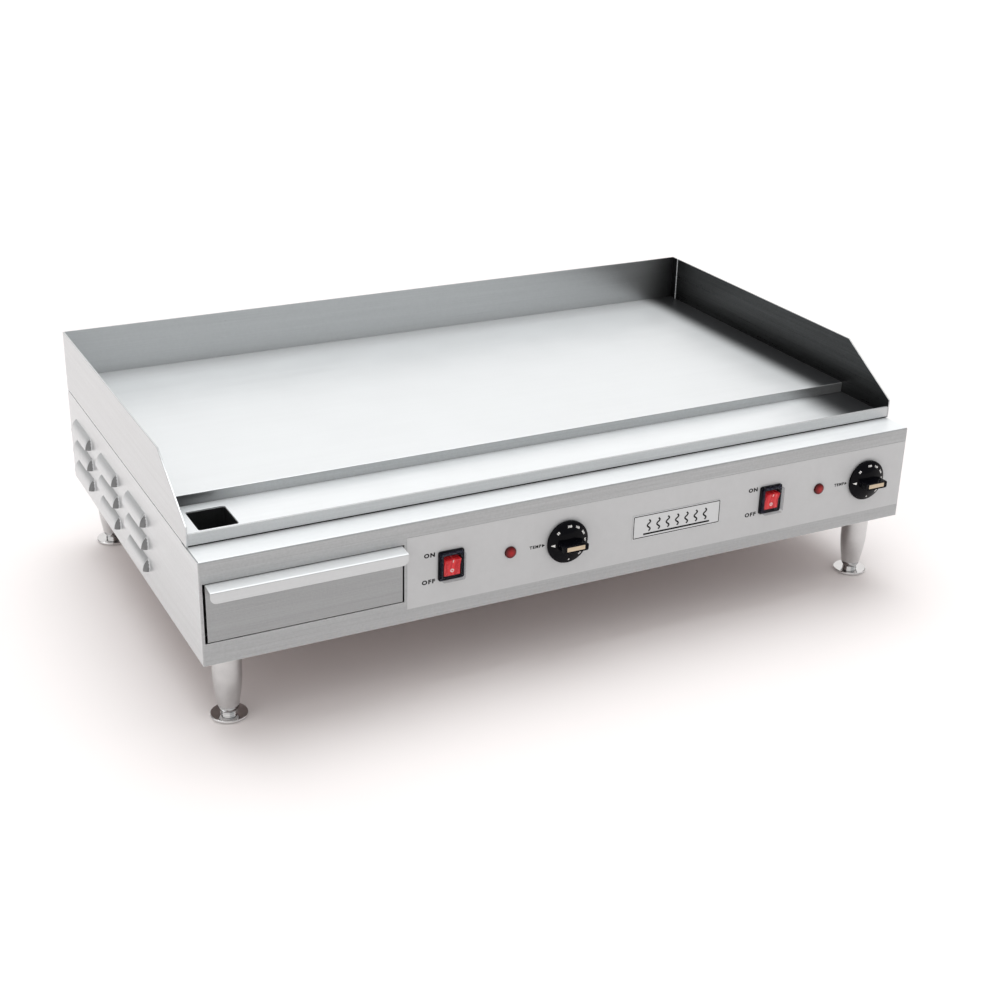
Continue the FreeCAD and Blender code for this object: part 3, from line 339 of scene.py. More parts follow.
def spun(shape, profile, steps=64):
    """Adds a closed solid of revolution about Z, from (radius, height) pairs read bottom to top."""
    rings = []
    for radius, height in profile:
        if radius < 1e-7:
            rings.append([shape.verts.new((0, 0, height))])
        else:
            turn = [2 * math.pi * k / steps for k in range(steps)]
            rings.append([shape.verts.new((radius * math.cos(a), radius * math.sin(a), height))
                          for a in turn])
    for low, high in zip(rings, rings[1:]):
        for k in range(steps):
            here, following = k, (k + 1) % steps
            if len(low) == 1:
                shape.faces.new((low[0], high[following], high[here]))
            elif len(high) == 1:
                shape.faces.new((low[here], low[following], high[0]))
            else:
                shape.faces.new((low[here], low[following], high[following], high[here]))
    for end, order in ((rings[0], -1), (rings[-1], 1)):
        if len(end) > 1:
            shape.faces.new(end[::order])
    return [vertex for ring in rings for vertex in ring]


def growing(name, inputs):
    """An empty geometry tree with named inputs, and a way to add and join its nodes."""
    tree = bpy.data.node_groups.new(name, "GeometryNodeTree")
    tree.interface.new_socket("Geometry", in_out="INPUT", socket_type="NodeSocketGeometry")
    for label, kind in inputs:
        tree.interface.new_socket(label, in_out="INPUT", socket_type="NodeSocket" + kind)
    tree.interface.new_socket("Geometry", in_out="OUTPUT", socket_type="NodeSocketGeometry")
    entry = tree.nodes.new("NodeGroupInput")
    leave = tree.nodes.new("NodeGroupOutput")

    def add(kind, **settings):
        made = tree.nodes.new(kind)
        for key, value in settings.items():
            setattr(made, key, value)
        return made

    return tree, entry.outputs, leave.inputs[0], add, tree.links.new


def grown(name, carrier, tree, values):
    """Runs a geometry tree on a carrier mesh, and keeps what grows as a plain mesh piece."""
    holder = bpy.data.objects.new(name + "_carrier", carrier)
    scene.collection.objects.link(holder)
    growth = holder.modifiers.new("growth", "NODES")
    growth.node_group = tree
    for item in tree.interface.items_tree:
        if item.name in values:
            growth[item.identifier] = values[item.name]
    graph = bpy.context.evaluated_depsgraph_get()
    mesh = bpy.data.meshes.new_from_object(holder.evaluated_get(graph))
    mesh.name = name
    bpy.data.objects.remove(holder)
    piece = bpy.data.objects.new(name, mesh)
    scene.collection.objects.link(piece)
    return piece


def cloud_of(points):
    """A carrier mesh that holds only points."""
    mesh = bpy.data.meshes.new("points")
    mesh.from_pydata([tuple(p) for p in points], [], [])
    return mesh


zinc = plated("bright_zinc", 0.62, 0.26, tint=(1.0, 1.0, 0.97))
screw_low, screw_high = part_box("back_screws")
head_radius = 3.6 * mm
head_high = screw_high.y - screw_low.y
screw = bmesh.new()
spun(screw, [(head_radius, 0), (head_radius, 0.25 * head_high), (0.93 * head_radius, 0.6 * head_high),
             (0.72 * head_radius, 0.88 * head_high), (0.4 * head_radius, head_high), (0, head_high)], 32)
screw_head = piece_from("screw_head", screw, zinc)
cross = bmesh.new()
for long_way in ((4.0, 0.95), (0.95, 4.0)):
    bar = bmesh.ops.create_cube(cross, size=1)["verts"]
    bmesh.ops.scale(cross, vec=(long_way[0] * mm, long_way[1] * mm, 2.4 * mm), verts=bar)
    bmesh.ops.translate(cross, vec=(0, 0, head_high + 0.1 * mm), verts=bar)
recess = piece_from("screw_recess", cross, zinc)
sinking = screw_head.modifiers.new("recess", "BOOLEAN")
sinking.operation = "DIFFERENCE"
sinking.object = recess
sinking.solver = "EXACT"
sinking.use_self = True
screw_mesh = bpy.data.meshes.new_from_object(screw_head.evaluated_get(bpy.context.evaluated_depsgraph_get()))
screw_mesh.transform(Matrix.Rotation(math.radians(-90), 4, "X"))
bpy.data.objects.remove(recess)
bpy.data.objects.remove(screw_head)
pattern_screw = bpy.data.objects.new("pattern_screw", screw_mesh)
scene.collection.objects.link(pattern_screw)

tree, given, result, add, join = growing(
    "screws_on_points",
    [("Screw", "Object"), ("Most turn", "Float"), ("Seed", "Int"), ("Plating", "Material")])
pattern = add("GeometryNodeObjectInfo")
angle = add("FunctionNodeRandomValue", data_type="FLOAT")
spin = add("ShaderNodeCombineXYZ")
placed = add("GeometryNodeInstanceOnPoints")
solid = add("GeometryNodeRealizeInstances")
coated = add("GeometryNodeSetMaterial")
join(given["Screw"], pattern.inputs["Object"])
join(given["Most turn"], angle.inputs["Max"])
join(given["Seed"], angle.inputs["Seed"])
join(angle.outputs["Value"], spin.inputs["Y"])
join(given["Geometry"], placed.inputs["Points"])
join(pattern.outputs["Geometry"], placed.inputs["Instance"])
join(spin.outputs[0], placed.inputs["Rotation"])
join(placed.outputs[0], solid.inputs[0])
join(solid.outputs[0], coated.inputs["Geometry"])
join(given["Plating"], coated.inputs["Material"])
join(coated.outputs[0], result)
screw_span = screw_high.x - screw_low.x - 2 * head_radius
screw_rows = (screw_low.z + head_radius, screw_high.z - head_radius)
screw_places = [(screw_low.x + head_radius + screw_span * k / 4, screw_low.y, z)
                for k in range(5) for z in screw_rows]
back_heads = grown("back_screw_heads", cloud_of(screw_places), tree,
                   {"Screw": pattern_screw, "Most turn": math.pi, "Seed": 7, "Plating": zinc})
standing_for(back_heads, "zinc_steel", "back_screws")
bpy.data.objects.remove(pattern_screw)

# ------------------------------------------------------- supply entry at the back
# A nylon gland grips the supply cable where it passes the back sheet. Inside,
# its cores end in a glazed ceramic terminal block.


def moulded(name, tone, rough, speck=0.15, pore=0.1, gloss=0.5):
    """A moulding: faint flow marks in the colour, and a fine skin texture."""
    material, shader, add, join = recipe(name)
    source = add("TexCoord")
    flow = grained(add, join, source, "flow", (90, 90, 90), detail=4.0)
    skin = grained(add, join, source, "skin", (1500, 1500, 1500), detail=2.0)
    marbled = between(add, join, flow, [c * (1 - speck) for c in tone],
                      [c * (1 + speck) for c in tone], 0.3, 0.7)
    join(marbled, shader.inputs["Base Color"])
    join(ranged(add, join, flow, 0.3, 0.7, rough * 0.8, rough * 1.25), shader.inputs["Roughness"])
    textured(add, join, shader, skin, pore, 0.05 * mm)
    shader.inputs["Specular IOR Level"].default_value = gloss
    return material


black_nylon = moulded("black_nylon", (0.035, 0.035, 0.036), 0.42, pore=0.3)
gland_low, gland_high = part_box("cable_gland")
gland_axis = (gland_low + gland_high) / 2
flange_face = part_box("back_panel")[1].y
dome_reach = gland_high.y - flange_face
gland = bmesh.new()
turned = []
bore = 6.5 * mm
round_steps = 48
for radius, height in ((bore, -20 * mm), (10.6 * mm, -20 * mm), (10.6 * mm, 0), (14.8 * mm, 0),
                       (14.8 * mm, 7.4 * mm), (14.2 * mm, 8 * mm), (12 * mm, 8 * mm),
                       (12 * mm, dome_reach - 5 * mm),
                       (11.4 * mm, dome_reach - 2.4 * mm), (10 * mm, dome_reach - 0.6 * mm),
                       (8.4 * mm, dome_reach), (bore, dome_reach - 0.5 * mm)):
    turn = [math.tau * k / round_steps for k in range(round_steps)]
    turned.append([gland.verts.new((radius * math.cos(a), radius * math.sin(a), height)) for a in turn])
for low, high in zip(turned, turned[1:] + turned[:1]):
    for k in range(round_steps):
        following = (k + 1) % round_steps
        gland.faces.new((low[k], low[following], high[following], high[k]))
for k in range(0, round_steps, 4):
    for ring in (6, 7, 8):
        for step in (0, 1):
            vertex = turned[ring][(k + step) % round_steps]
            vertex.co.xy *= 0.955
bmesh.ops.recalc_face_normals(gland, faces=gland.faces)
bmesh.ops.transform(gland, verts=gland.verts, matrix=Matrix.Translation(
    (gland_axis.x, flange_face, gland_axis.z)) @ Matrix.Rotation(math.radians(-90), 4, "X"))
gland_nut = piece_from("gland_body", gland, black_nylon, sharp=25)
standing_for(gland_nut, "black_nylon", "cable_gland")
glaze = moulded("glazed_ceramic", (0.82, 0.80, 0.74), 0.16, speck=0.05, pore=0.02, gloss=0.9)
eased("terminal_strip", "terminal_block", glaze, 0.8 * mm)

# ------------------------------------------------- drawer bay and its runners
# A galvanised wall shuts the grease drawer off from the wiring, and two folded
# angles, spot-welded to it and to the case side, carry the drawer.

galvanised = spangled("galvanised_sheet", (0.56, 0.58, 0.59), 9 * mm)
dressed("bay_wall", galvanised)
dressed("drawer_runners", galvanised)

# ------------------------------------------------------------------ front sheet
# One brushed stainless sheet makes the front face and the flat ledge over it.
# It is folded in a tight bend, and punched for the drawer and the controls.

front_steel = brushed("front_sheet_steel", 0.42, "X", metal=0.6, rough=0.38, streak=0.20,
                      blotch=3 * mm, edge_wear_and_sheen=0.3)
# Painted light and shade: the ledge is given a much paler copy of the front face's finish, light on the top
# face and shade on the front.
ledge_highlight_steel = brushed("ledge_highlight_steel", 0.87, "X", metal=0.25, rough=0.38, streak=0.03, edge_wear_and_sheen=0.2)
front = eased("front_sheet", "front_panel", front_steel, 0.3 * mm)
second_finish(front, ledge_highlight_steel, lambda face: face.normal.z > 0.9)

# ----------------------------------------------------------------- control film
# The controls sit on a satin grey polyester film, stuck to the front sheet. It
# is screen printed in black from behind: a switch legend and an arrow per zone.

film = moulded("satin_film", (0.550, 0.560, 0.566), 0.38, speck=0.02, pore=0.12)
eased("control_film", "control_overlay", film, 0.15 * mm)
film_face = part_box("control_overlay")[0].y
black_ink = moulded("black_ink", (0.006, 0.006, 0.007), 0.5, speck=0.3, gloss=0.2)
ink_thick = 0.06 * mm


def lettered(words, cap_height, weight, wide=1.15):
    """Lettering as a thin mesh in the XY plane, centred on X and standing on Y zero."""
    pen = bpy.data.curves.new("pen", "FONT")
    pen.body = words
    pen.size = 1
    pen.offset = weight
    pen.space_character = 1.26
    pen.extrude = 0.004
    pen.resolution_u = 6
    holder = bpy.data.objects.new("pen", pen)
    scene.collection.objects.link(holder)
    mesh = bpy.data.meshes.new_from_object(holder.evaluated_get(bpy.context.evaluated_depsgraph_get()))
    bpy.data.objects.remove(holder)
    shape = bmesh.new()
    shape.from_mesh(mesh)
    bpy.data.meshes.remove(mesh)
    low = [min(v.co[k] for v in shape.verts) for k in range(2)]
    high = [max(v.co[k] for v in shape.verts) for k in range(2)]
    size = cap_height / (high[1] - low[1])
    middle = (low[0] + high[0]) / 2
    for vertex in shape.verts:
        x, y, z = vertex.co
        vertex.co = ((x - middle) * size * wide, (y - low[1]) * size, (z > 0) * ink_thick)
    bmesh.ops.remove_doubles(shape, verts=shape.verts, dist=0.001 * mm)
    return shape


def on_face(shape, x, y, z):
    """Stands a flat shape up against the front, with its own XY plane as the front's XZ plane."""
    stand = Matrix.Translation((x, y, z)) @ Matrix.Rotation(math.radians(90), 4, "X")
    bmesh.ops.transform(shape, verts=shape.verts, matrix=stand)
    return shape


def gather(shapes):
    """Several shapes as one."""
    whole = bmesh.new()
    for shape in shapes:
        carried = bpy.data.meshes.new("carried")
        shape.to_mesh(carried)
        shape.free()
        whole.from_mesh(carried)
        bpy.data.meshes.remove(carried)
    return whole


def plate_shape(corners, thick):
    """A flat slab in the XY plane, from its outline, run counter-clockwise."""
    shape = bmesh.new()
    base = [shape.verts.new((x, y, 0)) for x, y in corners]
    face = shape.faces.new(base)
    raised = bmesh.ops.extrude_face_region(shape, geom=[face])
    top = [item for item in raised["geom"] if isinstance(item, bmesh.types.BMVert)]
    bmesh.ops.translate(shape, vec=(0, 0, thick), verts=top)
    bmesh.ops.recalc_face_normals(shape, faces=shape.faces)
    return shape


def middle_of(node):
    low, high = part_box(node)
    return (low + high) / 2


for side in ("left", "right"):
    switch = middle_of(f"switch_body_{side}")
    knob = middle_of(f"knob_{side}")
    on_word = on_face(lettered("ON", 5.4 * mm, 0.058), switch.x - 25.6 * mm, film_face, switch.z + 12.8 * mm)
    off_word = on_face(lettered("OFF", 5.4 * mm, 0.05), switch.x - 26.6 * mm, film_face, switch.z - 19.2 * mm)
    temp_word = on_face(lettered("TEMP", 3.9 * mm, 0.05, wide=1.05),
                        knob.x - 39.8 * mm, film_face, knob.z - 2.2 * mm)
    arrow = on_face(plate_shape([(0, -2.1 * mm), (3.9 * mm, 0), (0, 2.1 * mm)], ink_thick),
                    knob.x - 31.4 * mm, film_face, knob.z - 0.4 * mm)
    legend = piece_from(f"{side}_zone_legend", gather([on_word, off_word, temp_word, arrow]), black_ink)
    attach(legend, "case")

# ---------------------------------------------------------------- maker's plate
# A thin printed aluminium plate is glued on the film between the two zones. It
# holds only a line border and a plain heat sign: waves rising from a flat bar.


def rounded_corners(low_x, low_y, high_x, high_y, radius, steps=6):
    """Outline of a rectangle with round corners, run counter-clockwise."""
    points = []
    for cx, cy, start in ((high_x - radius, high_y - radius, 0), (low_x + radius, high_y - radius, 90),
                          (low_x + radius, low_y + radius, 180), (high_x - radius, low_y + radius, 270)):
        for k in range(steps + 1):
            a = math.radians(start + 90 * k / steps)
            points.append((cx + radius * math.cos(a), cy + radius * math.sin(a)))
    return points


badge_metal = brushed("badge_aluminium", 0.63, "X", metal=0.6, rough=0.42, streak=0.03,
                      scratch=0.05, edge_wear_and_sheen=0.0)
low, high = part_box("nameplate")
half_wide = (high.x - low.x) / 2
half_high = (high.z - low.z) / 2
badge_middle = (low + high) / 2
badge_thick = high.y - low.y - 0.08 * mm
badge_outline = rounded_corners(-half_wide, -half_high, half_wide, half_high, 1.2 * mm)
badge = on_face(plate_shape(badge_outline, badge_thick), badge_middle.x, high.y, badge_middle.z)
badge_plate = piece_from("blank_badge", badge, badge_metal)
ease_edges(badge_plate, 0.15 * mm)
standing_for(badge_plate, "nameplate_film", "nameplate")


def stroke(points, width, thick):
    """A printed line of even width along a row of points in the XY plane."""
    shape = bmesh.new()
    rows = []
    for k, (x, y) in enumerate(points):
        before = points[max(k - 1, 0)]
        after = points[min(k + 1, len(points) - 1)]
        along = Vector((after[0] - before[0], after[1] - before[1])).normalized() * width / 2
        rows.append([shape.verts.new((x - s * along.y, y + s * along.x, z))
                     for s, z in ((1, 0), (-1, 0), (-1, thick), (1, thick))])
    for here, following in zip(rows, rows[1:]):
        for k in range(4):
            shape.faces.new((here[k], following[k], following[(k + 1) % 4], here[(k + 1) % 4]))
    shape.faces.new(rows[0])
    shape.faces.new(rows[-1][::-1])
    bmesh.ops.recalc_face_normals(shape, faces=shape.faces)
    return shape


line_in = 1.5 * mm
border = rounded_corners(line_in - half_wide, line_in - half_high,
                         half_wide - line_in, half_high - line_in, 0.8 * mm)
bar_low = 5.2 * mm - half_high
bar_half = 46 * mm
sign = [stroke(border + border[:1], 1.0 * mm, ink_thick)]
sign.append(stroke([(-bar_half, bar_low), (bar_half, bar_low)], 2.2 * mm, ink_thick))
for column in range(-3, 4):
    wave = [(column * 13 * mm + 2 * mm * math.sin(math.tau * k / 16), bar_low + (3.4 + 14.2 * k / 24) * mm)
            for k in range(25)]
    sign.append(stroke(wave, 2.0 * mm, ink_thick))
for shape in sign:
    on_face(shape, badge_middle.x, high.y - badge_thick, badge_middle.z)
heat_sign = piece_from("heat_sign", gather(sign), black_ink)
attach(heat_sign, "case")

# ------------------------------------------------------------------- thermostats
# A capillary thermostat per zone is screwed behind the front: a phenolic block,
# a zinc-plated shaft, and a copper tube that ends in a bulb under the plate.

phenolic = moulded("brown_phenolic", (0.10, 0.075, 0.06), 0.4, speck=0.2)
drawn_copper = plated("drawn_copper", 0.85, 0.3, tint=(0.86, 0.50, 0.34))
for side in ("left", "right"):
    eased(f"{side}_thermostat_block", f"thermostat_body_{side}", phenolic, 0.6 * mm)
    dressed(f"thermostat_shaft_{side}", zinc)
    dressed(f"bulb_and_capillary_{side}", drawn_copper)

# ------------------------------------------------------------------------- knobs
# Compression-moulded black phenolic: a domed skirt with a straight grip bar, and
# a tan strip pressed into the bar. The dial figures are filled in with white.

knob_black = moulded("polished_phenolic", (0.0030, 0.0030, 0.0045), 0.10, speck=0.25, pore=0.012, gloss=0.07)
tan_strip = moulded("tan_melamine", (0.62, 0.50, 0.35), 0.34, speck=0.10, pore=0.1)
white_fill = moulded("white_fill", (0.86, 0.86, 0.84), 0.42, speck=0.05)

skirt_radius = 25.8 * mm
dot_radius = 0.9 * mm
dot_out = 20.4 * mm
skirt_gap = 1.2 * mm
skirt_edge = 5 * mm
dome_top = 11.5 * mm
dome_ball = (skirt_radius ** 2 + (dome_top - skirt_edge) ** 2) / (2 * (dome_top - skirt_edge))


def dome_height(radius):
    """Height of the domed skirt above the front sheet, this far from the shaft."""
    return dome_top - dome_ball + math.sqrt(dome_ball ** 2 - radius ** 2)


def wrapped(shape, lift):
    """Lays a flat shape in the XY plane onto the dome."""
    for vertex in shape.verts:
        vertex.co.z = dome_height(math.hypot(vertex.co.x, vertex.co.y)) + lift + vertex.co.z
    return shape


for side in ("left", "right"):
    low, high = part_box(f"knob_{side}")
    shaft = (low + high) / 2
    sheet_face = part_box("front_panel")[0].y
    grip_reach = sheet_face - low.y
    lay_down = Matrix.Translation((shaft.x, sheet_face, shaft.z)) @ Matrix.Rotation(math.radians(90), 4, "X")

    skirt = bmesh.new()
    rim = [(0, skirt_gap), (skirt_radius - 0.6 * mm, skirt_gap), (skirt_radius, skirt_gap + 0.6 * mm),
           (skirt_radius, skirt_edge - 0.5 * mm), (skirt_radius - 0.12 * mm, skirt_edge - 0.1 * mm)]
    rim += [(r * mm, dome_height(r * mm)) for r in (25.2, 24, 22, 19.5, 16, 12, 8, 4, 0)]
    spun(skirt, rim, 96)
    grip_outline = rounded_corners(-16 * mm, -4.5 * mm, 16 * mm, 4.5 * mm, 2.4 * mm)
    grip = plate_shape(grip_outline, grip_reach - skirt_edge)
    bmesh.ops.translate(grip, vec=(0, 0, skirt_edge), verts=grip.verts)
    crown = max(grip.faces, key=lambda face: face.calc_center_median().z)
    bmesh.ops.inset_region(grip, faces=[crown], thickness=1.85 * mm)
    bmesh.ops.translate(grip, vec=(0, 0, -0.7 * mm), verts=crown.verts)
    moulding = gather([skirt, grip])
    bmesh.ops.transform(moulding, verts=moulding.verts, matrix=lay_down)
    knob_piece = piece_from(f"{side}_knob_moulding", moulding, knob_black)
    ease_edges(knob_piece, 0.5 * mm, segments=3)
    standing_for(knob_piece, "knob_black", f"knob_{side}")

    insert = plate_shape(rounded_corners(-11.5 * mm, -2.6 * mm, 11.5 * mm, 2.6 * mm, 0.6 * mm), 1.3 * mm)
    sunk = Matrix.Translation((0, 0, grip_reach - 1.6 * mm))
    bmesh.ops.transform(insert, verts=insert.verts, matrix=lay_down @ sunk)
    insert_piece = piece_from(f"{side}_knob_strip", insert, tan_strip)
    ease_edges(insert_piece, 0.25 * mm)
    standing_for(insert_piece, "insert_tan", f"knob_insert_{side}")

    figures = []
    for words, turn in (("50", 45), ("100", 90), ("150", 120), ("200", 150), ("250", 180), ("300", 225)):
        figure = lettered(words, 2.5 * mm, 0.06, wide=1)
        upright = Matrix.Rotation(math.radians(90 - turn), 4, "Z") @ Matrix.Translation((0, 19.2 * mm, 0))
        bmesh.ops.transform(figure, verts=figure.verts, matrix=upright)
        figures.append(wrapped(figure, 0.02 * mm))
    pointer = plate_shape([(-23.4 * mm, 0), (-18.6 * mm, -1.8 * mm), (-18.6 * mm, 1.8 * mm)], 0.05 * mm)
    figures.append(wrapped(pointer, 0.03 * mm))
    dot = [math.tau * k / 20 for k in range(20)]
    stop = plate_shape([(dot_radius * math.cos(a), dot_radius * math.sin(a) - dot_out) for a in dot],
                       0.05 * mm)
    figures.append(wrapped(stop, 0.03 * mm))
    dial = gather(figures)
    bmesh.ops.transform(dial, verts=dial.verts, matrix=lay_down)
    dial_piece = piece_from(f"{side}_dial_figures", dial, white_fill)
    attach(dial_piece, f"knob_{side}")

# --------------------------------------------------------------------- switches
# Snap-in rocker switches: a gloss black frame, a translucent red rocker with a
# line and a ring in white, and a clear vinyl boot that keeps grease out.

switch_black = moulded("gloss_black_nylon", (0.004, 0.004, 0.006), 0.16, speck=0.2, pore=0.04, gloss=0.12)

rocker_red, shader, add, join = recipe("translucent_red_painted_glow")
source = add("TexCoord")
ribs = grained(add, join, source, "moulded ribs", (520, 30, 30), detail=1.0)
ribbed = between(add, join, ribs, (0.44, 0.008, 0.014), (0.72, 0.030, 0.034), 0.35, 0.65)
join(ribbed, shader.inputs["Base Color"])
textured(add, join, shader, ribs, 0.08, 0.1 * mm)
join(ranged(add, join, ribs, 0.3, 0.7, 0.16, 0.28), shader.inputs["Roughness"])
# Painted glow: the rocker holds no lamp, yet it is given a faint red emission.
shader.inputs["Emission Color"].default_value = (0.9, 0.02, 0.02, 1)
shader.inputs["Emission Strength"].default_value = 0.10

clear_vinyl, shader, add, join = recipe("clear_vinyl")
source = add("TexCoord")
film_noise = grained(add, join, source, "vinyl skin", (160, 160, 160), detail=3.0)
join(ranged(add, join, film_noise, 0.3, 0.7, 0.04, 0.12), shader.inputs["Roughness"])
rim = add("LayerWeight", in_Blend=0.2)
join(ranged(add, join, rim.outputs["Fresnel"], 0.0, 1.0, 0.012, 0.30), shader.inputs["Alpha"])
textured(add, join, shader, film_noise, 0.10, 0.2 * mm)
shader.inputs["Base Color"].default_value = (0.05, 0.05, 0.10, 1)
shader.inputs["Coat Weight"].default_value = 1.0



def round_uprights(shape, half_wide, radius):
    """Rounds the four front-to-back edges that stand half_wide away from the middle."""
    across = [vertex.co.x for vertex in shape.verts]
    middle = (min(across) + max(across)) / 2
    edges = [edge for edge in shape.edges
             if all(abs(abs(vertex.co.x - middle) - half_wide) < 0.01 * mm for vertex in edge.verts)
             and abs((edge.verts[0].co - edge.verts[1].co).normalized().y) > 0.99]
    bmesh.ops.bevel(shape, geom=edges, offset=radius, segments=5, profile=0.5, affect="EDGES",
                    clamp_overlap=True)
    return shape


frame_corner = 2.6 * mm
boot_corner = 2.4 * mm
boot_skin = 0.7 * mm
lean = math.radians(20)
reach = 8.0 * mm
mark_thick = 0.04 * mm
for side in ("left", "right"):
    low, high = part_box(f"switch_body_{side}")
    eye = (low + high) / 2
    frame_shape = round_uprights(outline_of(f"switch_body_{side}"), (high.x - low.x) / 2, frame_corner)
    body_piece = piece_from(f"{side}_switch_frame", frame_shape, switch_black)
    ease_edges(body_piece, 0.9 * mm, segments=3)
    standing_for(body_piece, "switch_black", f"switch_body_{side}")
    rocker_piece = piece_from(f"{side}_rocker_key", outline_of(f"rocker_{side}"), rocker_red)
    ease_edges(rocker_piece, 0.45 * mm, segments=3)
    standing_for(rocker_piece, "rocker_red", f"rocker_{side}")

    # The two faces of the key lean apart by 20 degrees; the marks are filled grooves in them.
    key_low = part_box(f"rocker_{side}")[0]
    pivot = next(j for j in frame["joints"] if j["name"] == f"rocker_{side}_tilt")["pos_m"]
    valley = Vector((eye.x, pivot[1] - reach * math.cos(lean / 2), pivot[2] - reach * math.sin(lean / 2)))
    ring_mark = bmesh.new()
    for k in range(24):
        a, b = math.tau * k / 24, math.tau * (k + 1) / 24
        ring_mark.faces.new([ring_mark.verts.new((r * math.cos(t), r * math.sin(t), mark_thick))
                             for r, t in ((1.15 * mm, a), (2.1 * mm, a), (2.1 * mm, b), (1.15 * mm, b))])
    bmesh.ops.remove_doubles(ring_mark, verts=ring_mark.verts, dist=0.001 * mm)
    off_face = Matrix.Translation((valley.x, valley.y, (valley.z + key_low.z) / 2 + 0.6 * mm))
    bmesh.ops.transform(ring_mark, verts=ring_mark.verts,
                        matrix=off_face @ Matrix.Rotation(math.radians(90), 4, "X"))
    line_mark = plate_shape([(-0.5 * mm, -2.0 * mm), (0.5 * mm, -2.0 * mm),
                             (0.5 * mm, 2.0 * mm), (-0.5 * mm, 2.0 * mm)], mark_thick)
    up_face = Matrix.Translation(valley + Vector((0, -math.sin(lean), math.cos(lean))) * 8.6 * mm)
    bmesh.ops.transform(line_mark, verts=line_mark.verts,
                        matrix=up_face @ Matrix.Rotation(math.radians(90) + lean, 4, "X"))
    marks = piece_from(f"{side}_rocker_marks", gather([ring_mark, line_mark]), white_fill)
    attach(marks, f"rocker_{side}")

    low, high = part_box(f"switch_boot_{side}")
    half_boot = (high.x - low.x) / 2
    boot = round_uprights(outline_of(f"switch_boot_{side}"), half_boot, boot_corner)
    round_uprights(boot, half_boot - boot_skin, boot_corner - boot_skin)
    boot_piece = piece_from(f"{side}_splash_boot", boot, clear_vinyl)
    ease_edges(boot_piece, 0.65 * mm, segments=4)
    standing_for(boot_piece, "clear_boot", f"switch_boot_{side}")

# ------------------------------------------------------------------- pilot lamps
# A red acrylic lens, moulded with rings inside so that it glows evenly, snaps
# over the neon lamp's white nylon body behind the front.

lens_red, shader, add, join = recipe("red_acrylic")
rings_from_centre = add("Attribute", attribute_name="from_centre")
rings = add("Math", operation="SINE")
scaled = add("Math", operation="MULTIPLY")
scaled.inputs[1].default_value = 24.0
join(rings_from_centre.outputs["Fac"], scaled.inputs[0])
join(scaled.outputs[0], rings.inputs[0])
rim_shade = between(add, join, rings_from_centre.outputs["Fac"], (0.44, 0.010, 0.012), (0.045, 0.001, 0.002))
join(rim_shade, shader.inputs["Base Color"])
textured(add, join, shader, rings.outputs[0], 0.25, 0.15 * mm)
shader.inputs["Roughness"].default_value = 0.12
shader.inputs["Specular IOR Level"].default_value = 0.3
white_nylon = moulded("white_nylon", (0.80, 0.79, 0.75), 0.4, speck=0.04)
collar = 1.6 * mm
for side in ("left", "right"):
    low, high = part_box(f"pilot_lens_{side}")
    lamp = (low + high) / 2
    reach = high.y - low.y
    edge = (high.x - low.x) / 2
    profile = [(0, 0), (edge, 0), (edge, 1.2 * mm), (0.97 * edge, collar)]
    profile += [(edge * r, collar + (reach - collar) * math.sqrt(1 - r * r))
                for r in (0.94, 0.85, 0.72, 0.55, 0.35, 0.15)]
    lens = bmesh.new()
    spun(lens, profile + [(0, reach)], 48)
    radii = [math.hypot(v.co.x, v.co.y) / edge for v in lens.verts]
    bmesh.ops.transform(lens, verts=lens.verts, matrix=Matrix.Translation(
        (lamp.x, high.y, lamp.z)) @ Matrix.Rotation(math.radians(90), 4, "X"))
    lens_piece = piece_from(f"{side}_pilot_dome", lens, lens_red)
    measure = lens_piece.data.attributes.new("from_centre", "FLOAT", "POINT")
    measure.data.foreach_set("value", radii)
    standing_for(lens_piece, "lens_red", f"pilot_lens_{side}")
    dressed(f"pilot_body_{side}", white_nylon)

# ------------------------------------------------------------------ grease drawer
# A folded and seam-welded stainless tray. Its front has a strip spot-welded over
# the top edge and turned down into a finger pull, with a painted highlight along its top.

drawer_steel = brushed("drawer_front_steel", 0.36, "X", metal=0.8, rough=0.4,
                       streak=0.16, blotch=2.5 * mm, edge_wear_and_sheen=0.3)
pull_steel = brushed("drawer_pull_steel", 0.62, "X", metal=0.6, rough=0.34,
                     streak=0.05, scratch=0.02, edge_wear_and_sheen=0.0)
# Painted highlight: the pull's upward faces get a near-white copy of its finish.
pull_top_highlight_steel = brushed("pull_top_painted_highlight", 0.93, "X", metal=0.25, rough=0.34,
                       streak=0.03, scratch=0.02, edge_wear_and_sheen=0.0)
tray_steel = brushed("drawer_tray_steel", 0.60, "Y", rough=0.42, streak=0.08, edge_wear_and_sheen=0.0)
eased("drawer_pan", "drawer_tray", tray_steel, 0.25 * mm)
eased("drawer_face", "drawer_front", drawer_steel, 0.35 * mm)
pull = eased("drawer_pull", "drawer_handle", pull_steel, 0.4 * mm)
second_finish(pull, pull_top_highlight_steel, lambda face: face.normal.z > 0.5)

# -------------------------------------------------------------- heating elements
# Two serpentine tubular elements are clamped up against the plate by plated bars
# on welded studs, over a blanket of mineral wool in a galvanised pan.

element_sheath = plated("oxidised_sheath", 0.26, 0.46, tint=(1.0, 0.95, 0.90))
for side in ("left", "right"):
    dressed(f"heating_element_{side}", element_sheath)
for node in ("plate_studs", "clamp_bars", "clamp_nuts", "leg_nuts"):
    dressed(node, zinc)
dressed("heat_pan", galvanised)

wool, shader, add, join = recipe("mineral_wool")
source = add("TexCoord")
fibres = grained(add, join, source, "fibres", (900, 260, 260), detail=6.0)
clumps = grained(add, join, source, "clumps", (40, 40, 40), detail=3.0)
join(between(add, join, fibres, (0.42, 0.37, 0.22), (0.80, 0.75, 0.58)), shader.inputs["Base Color"])
join(ranged(add, join, clumps, 0.3, 0.7, 0.85, 1.0), shader.inputs["Roughness"])
textured(add, join, shader, fibres, 0.8, 1.0 * mm)
shader.inputs["Sheen Weight"].default_value = 0.3

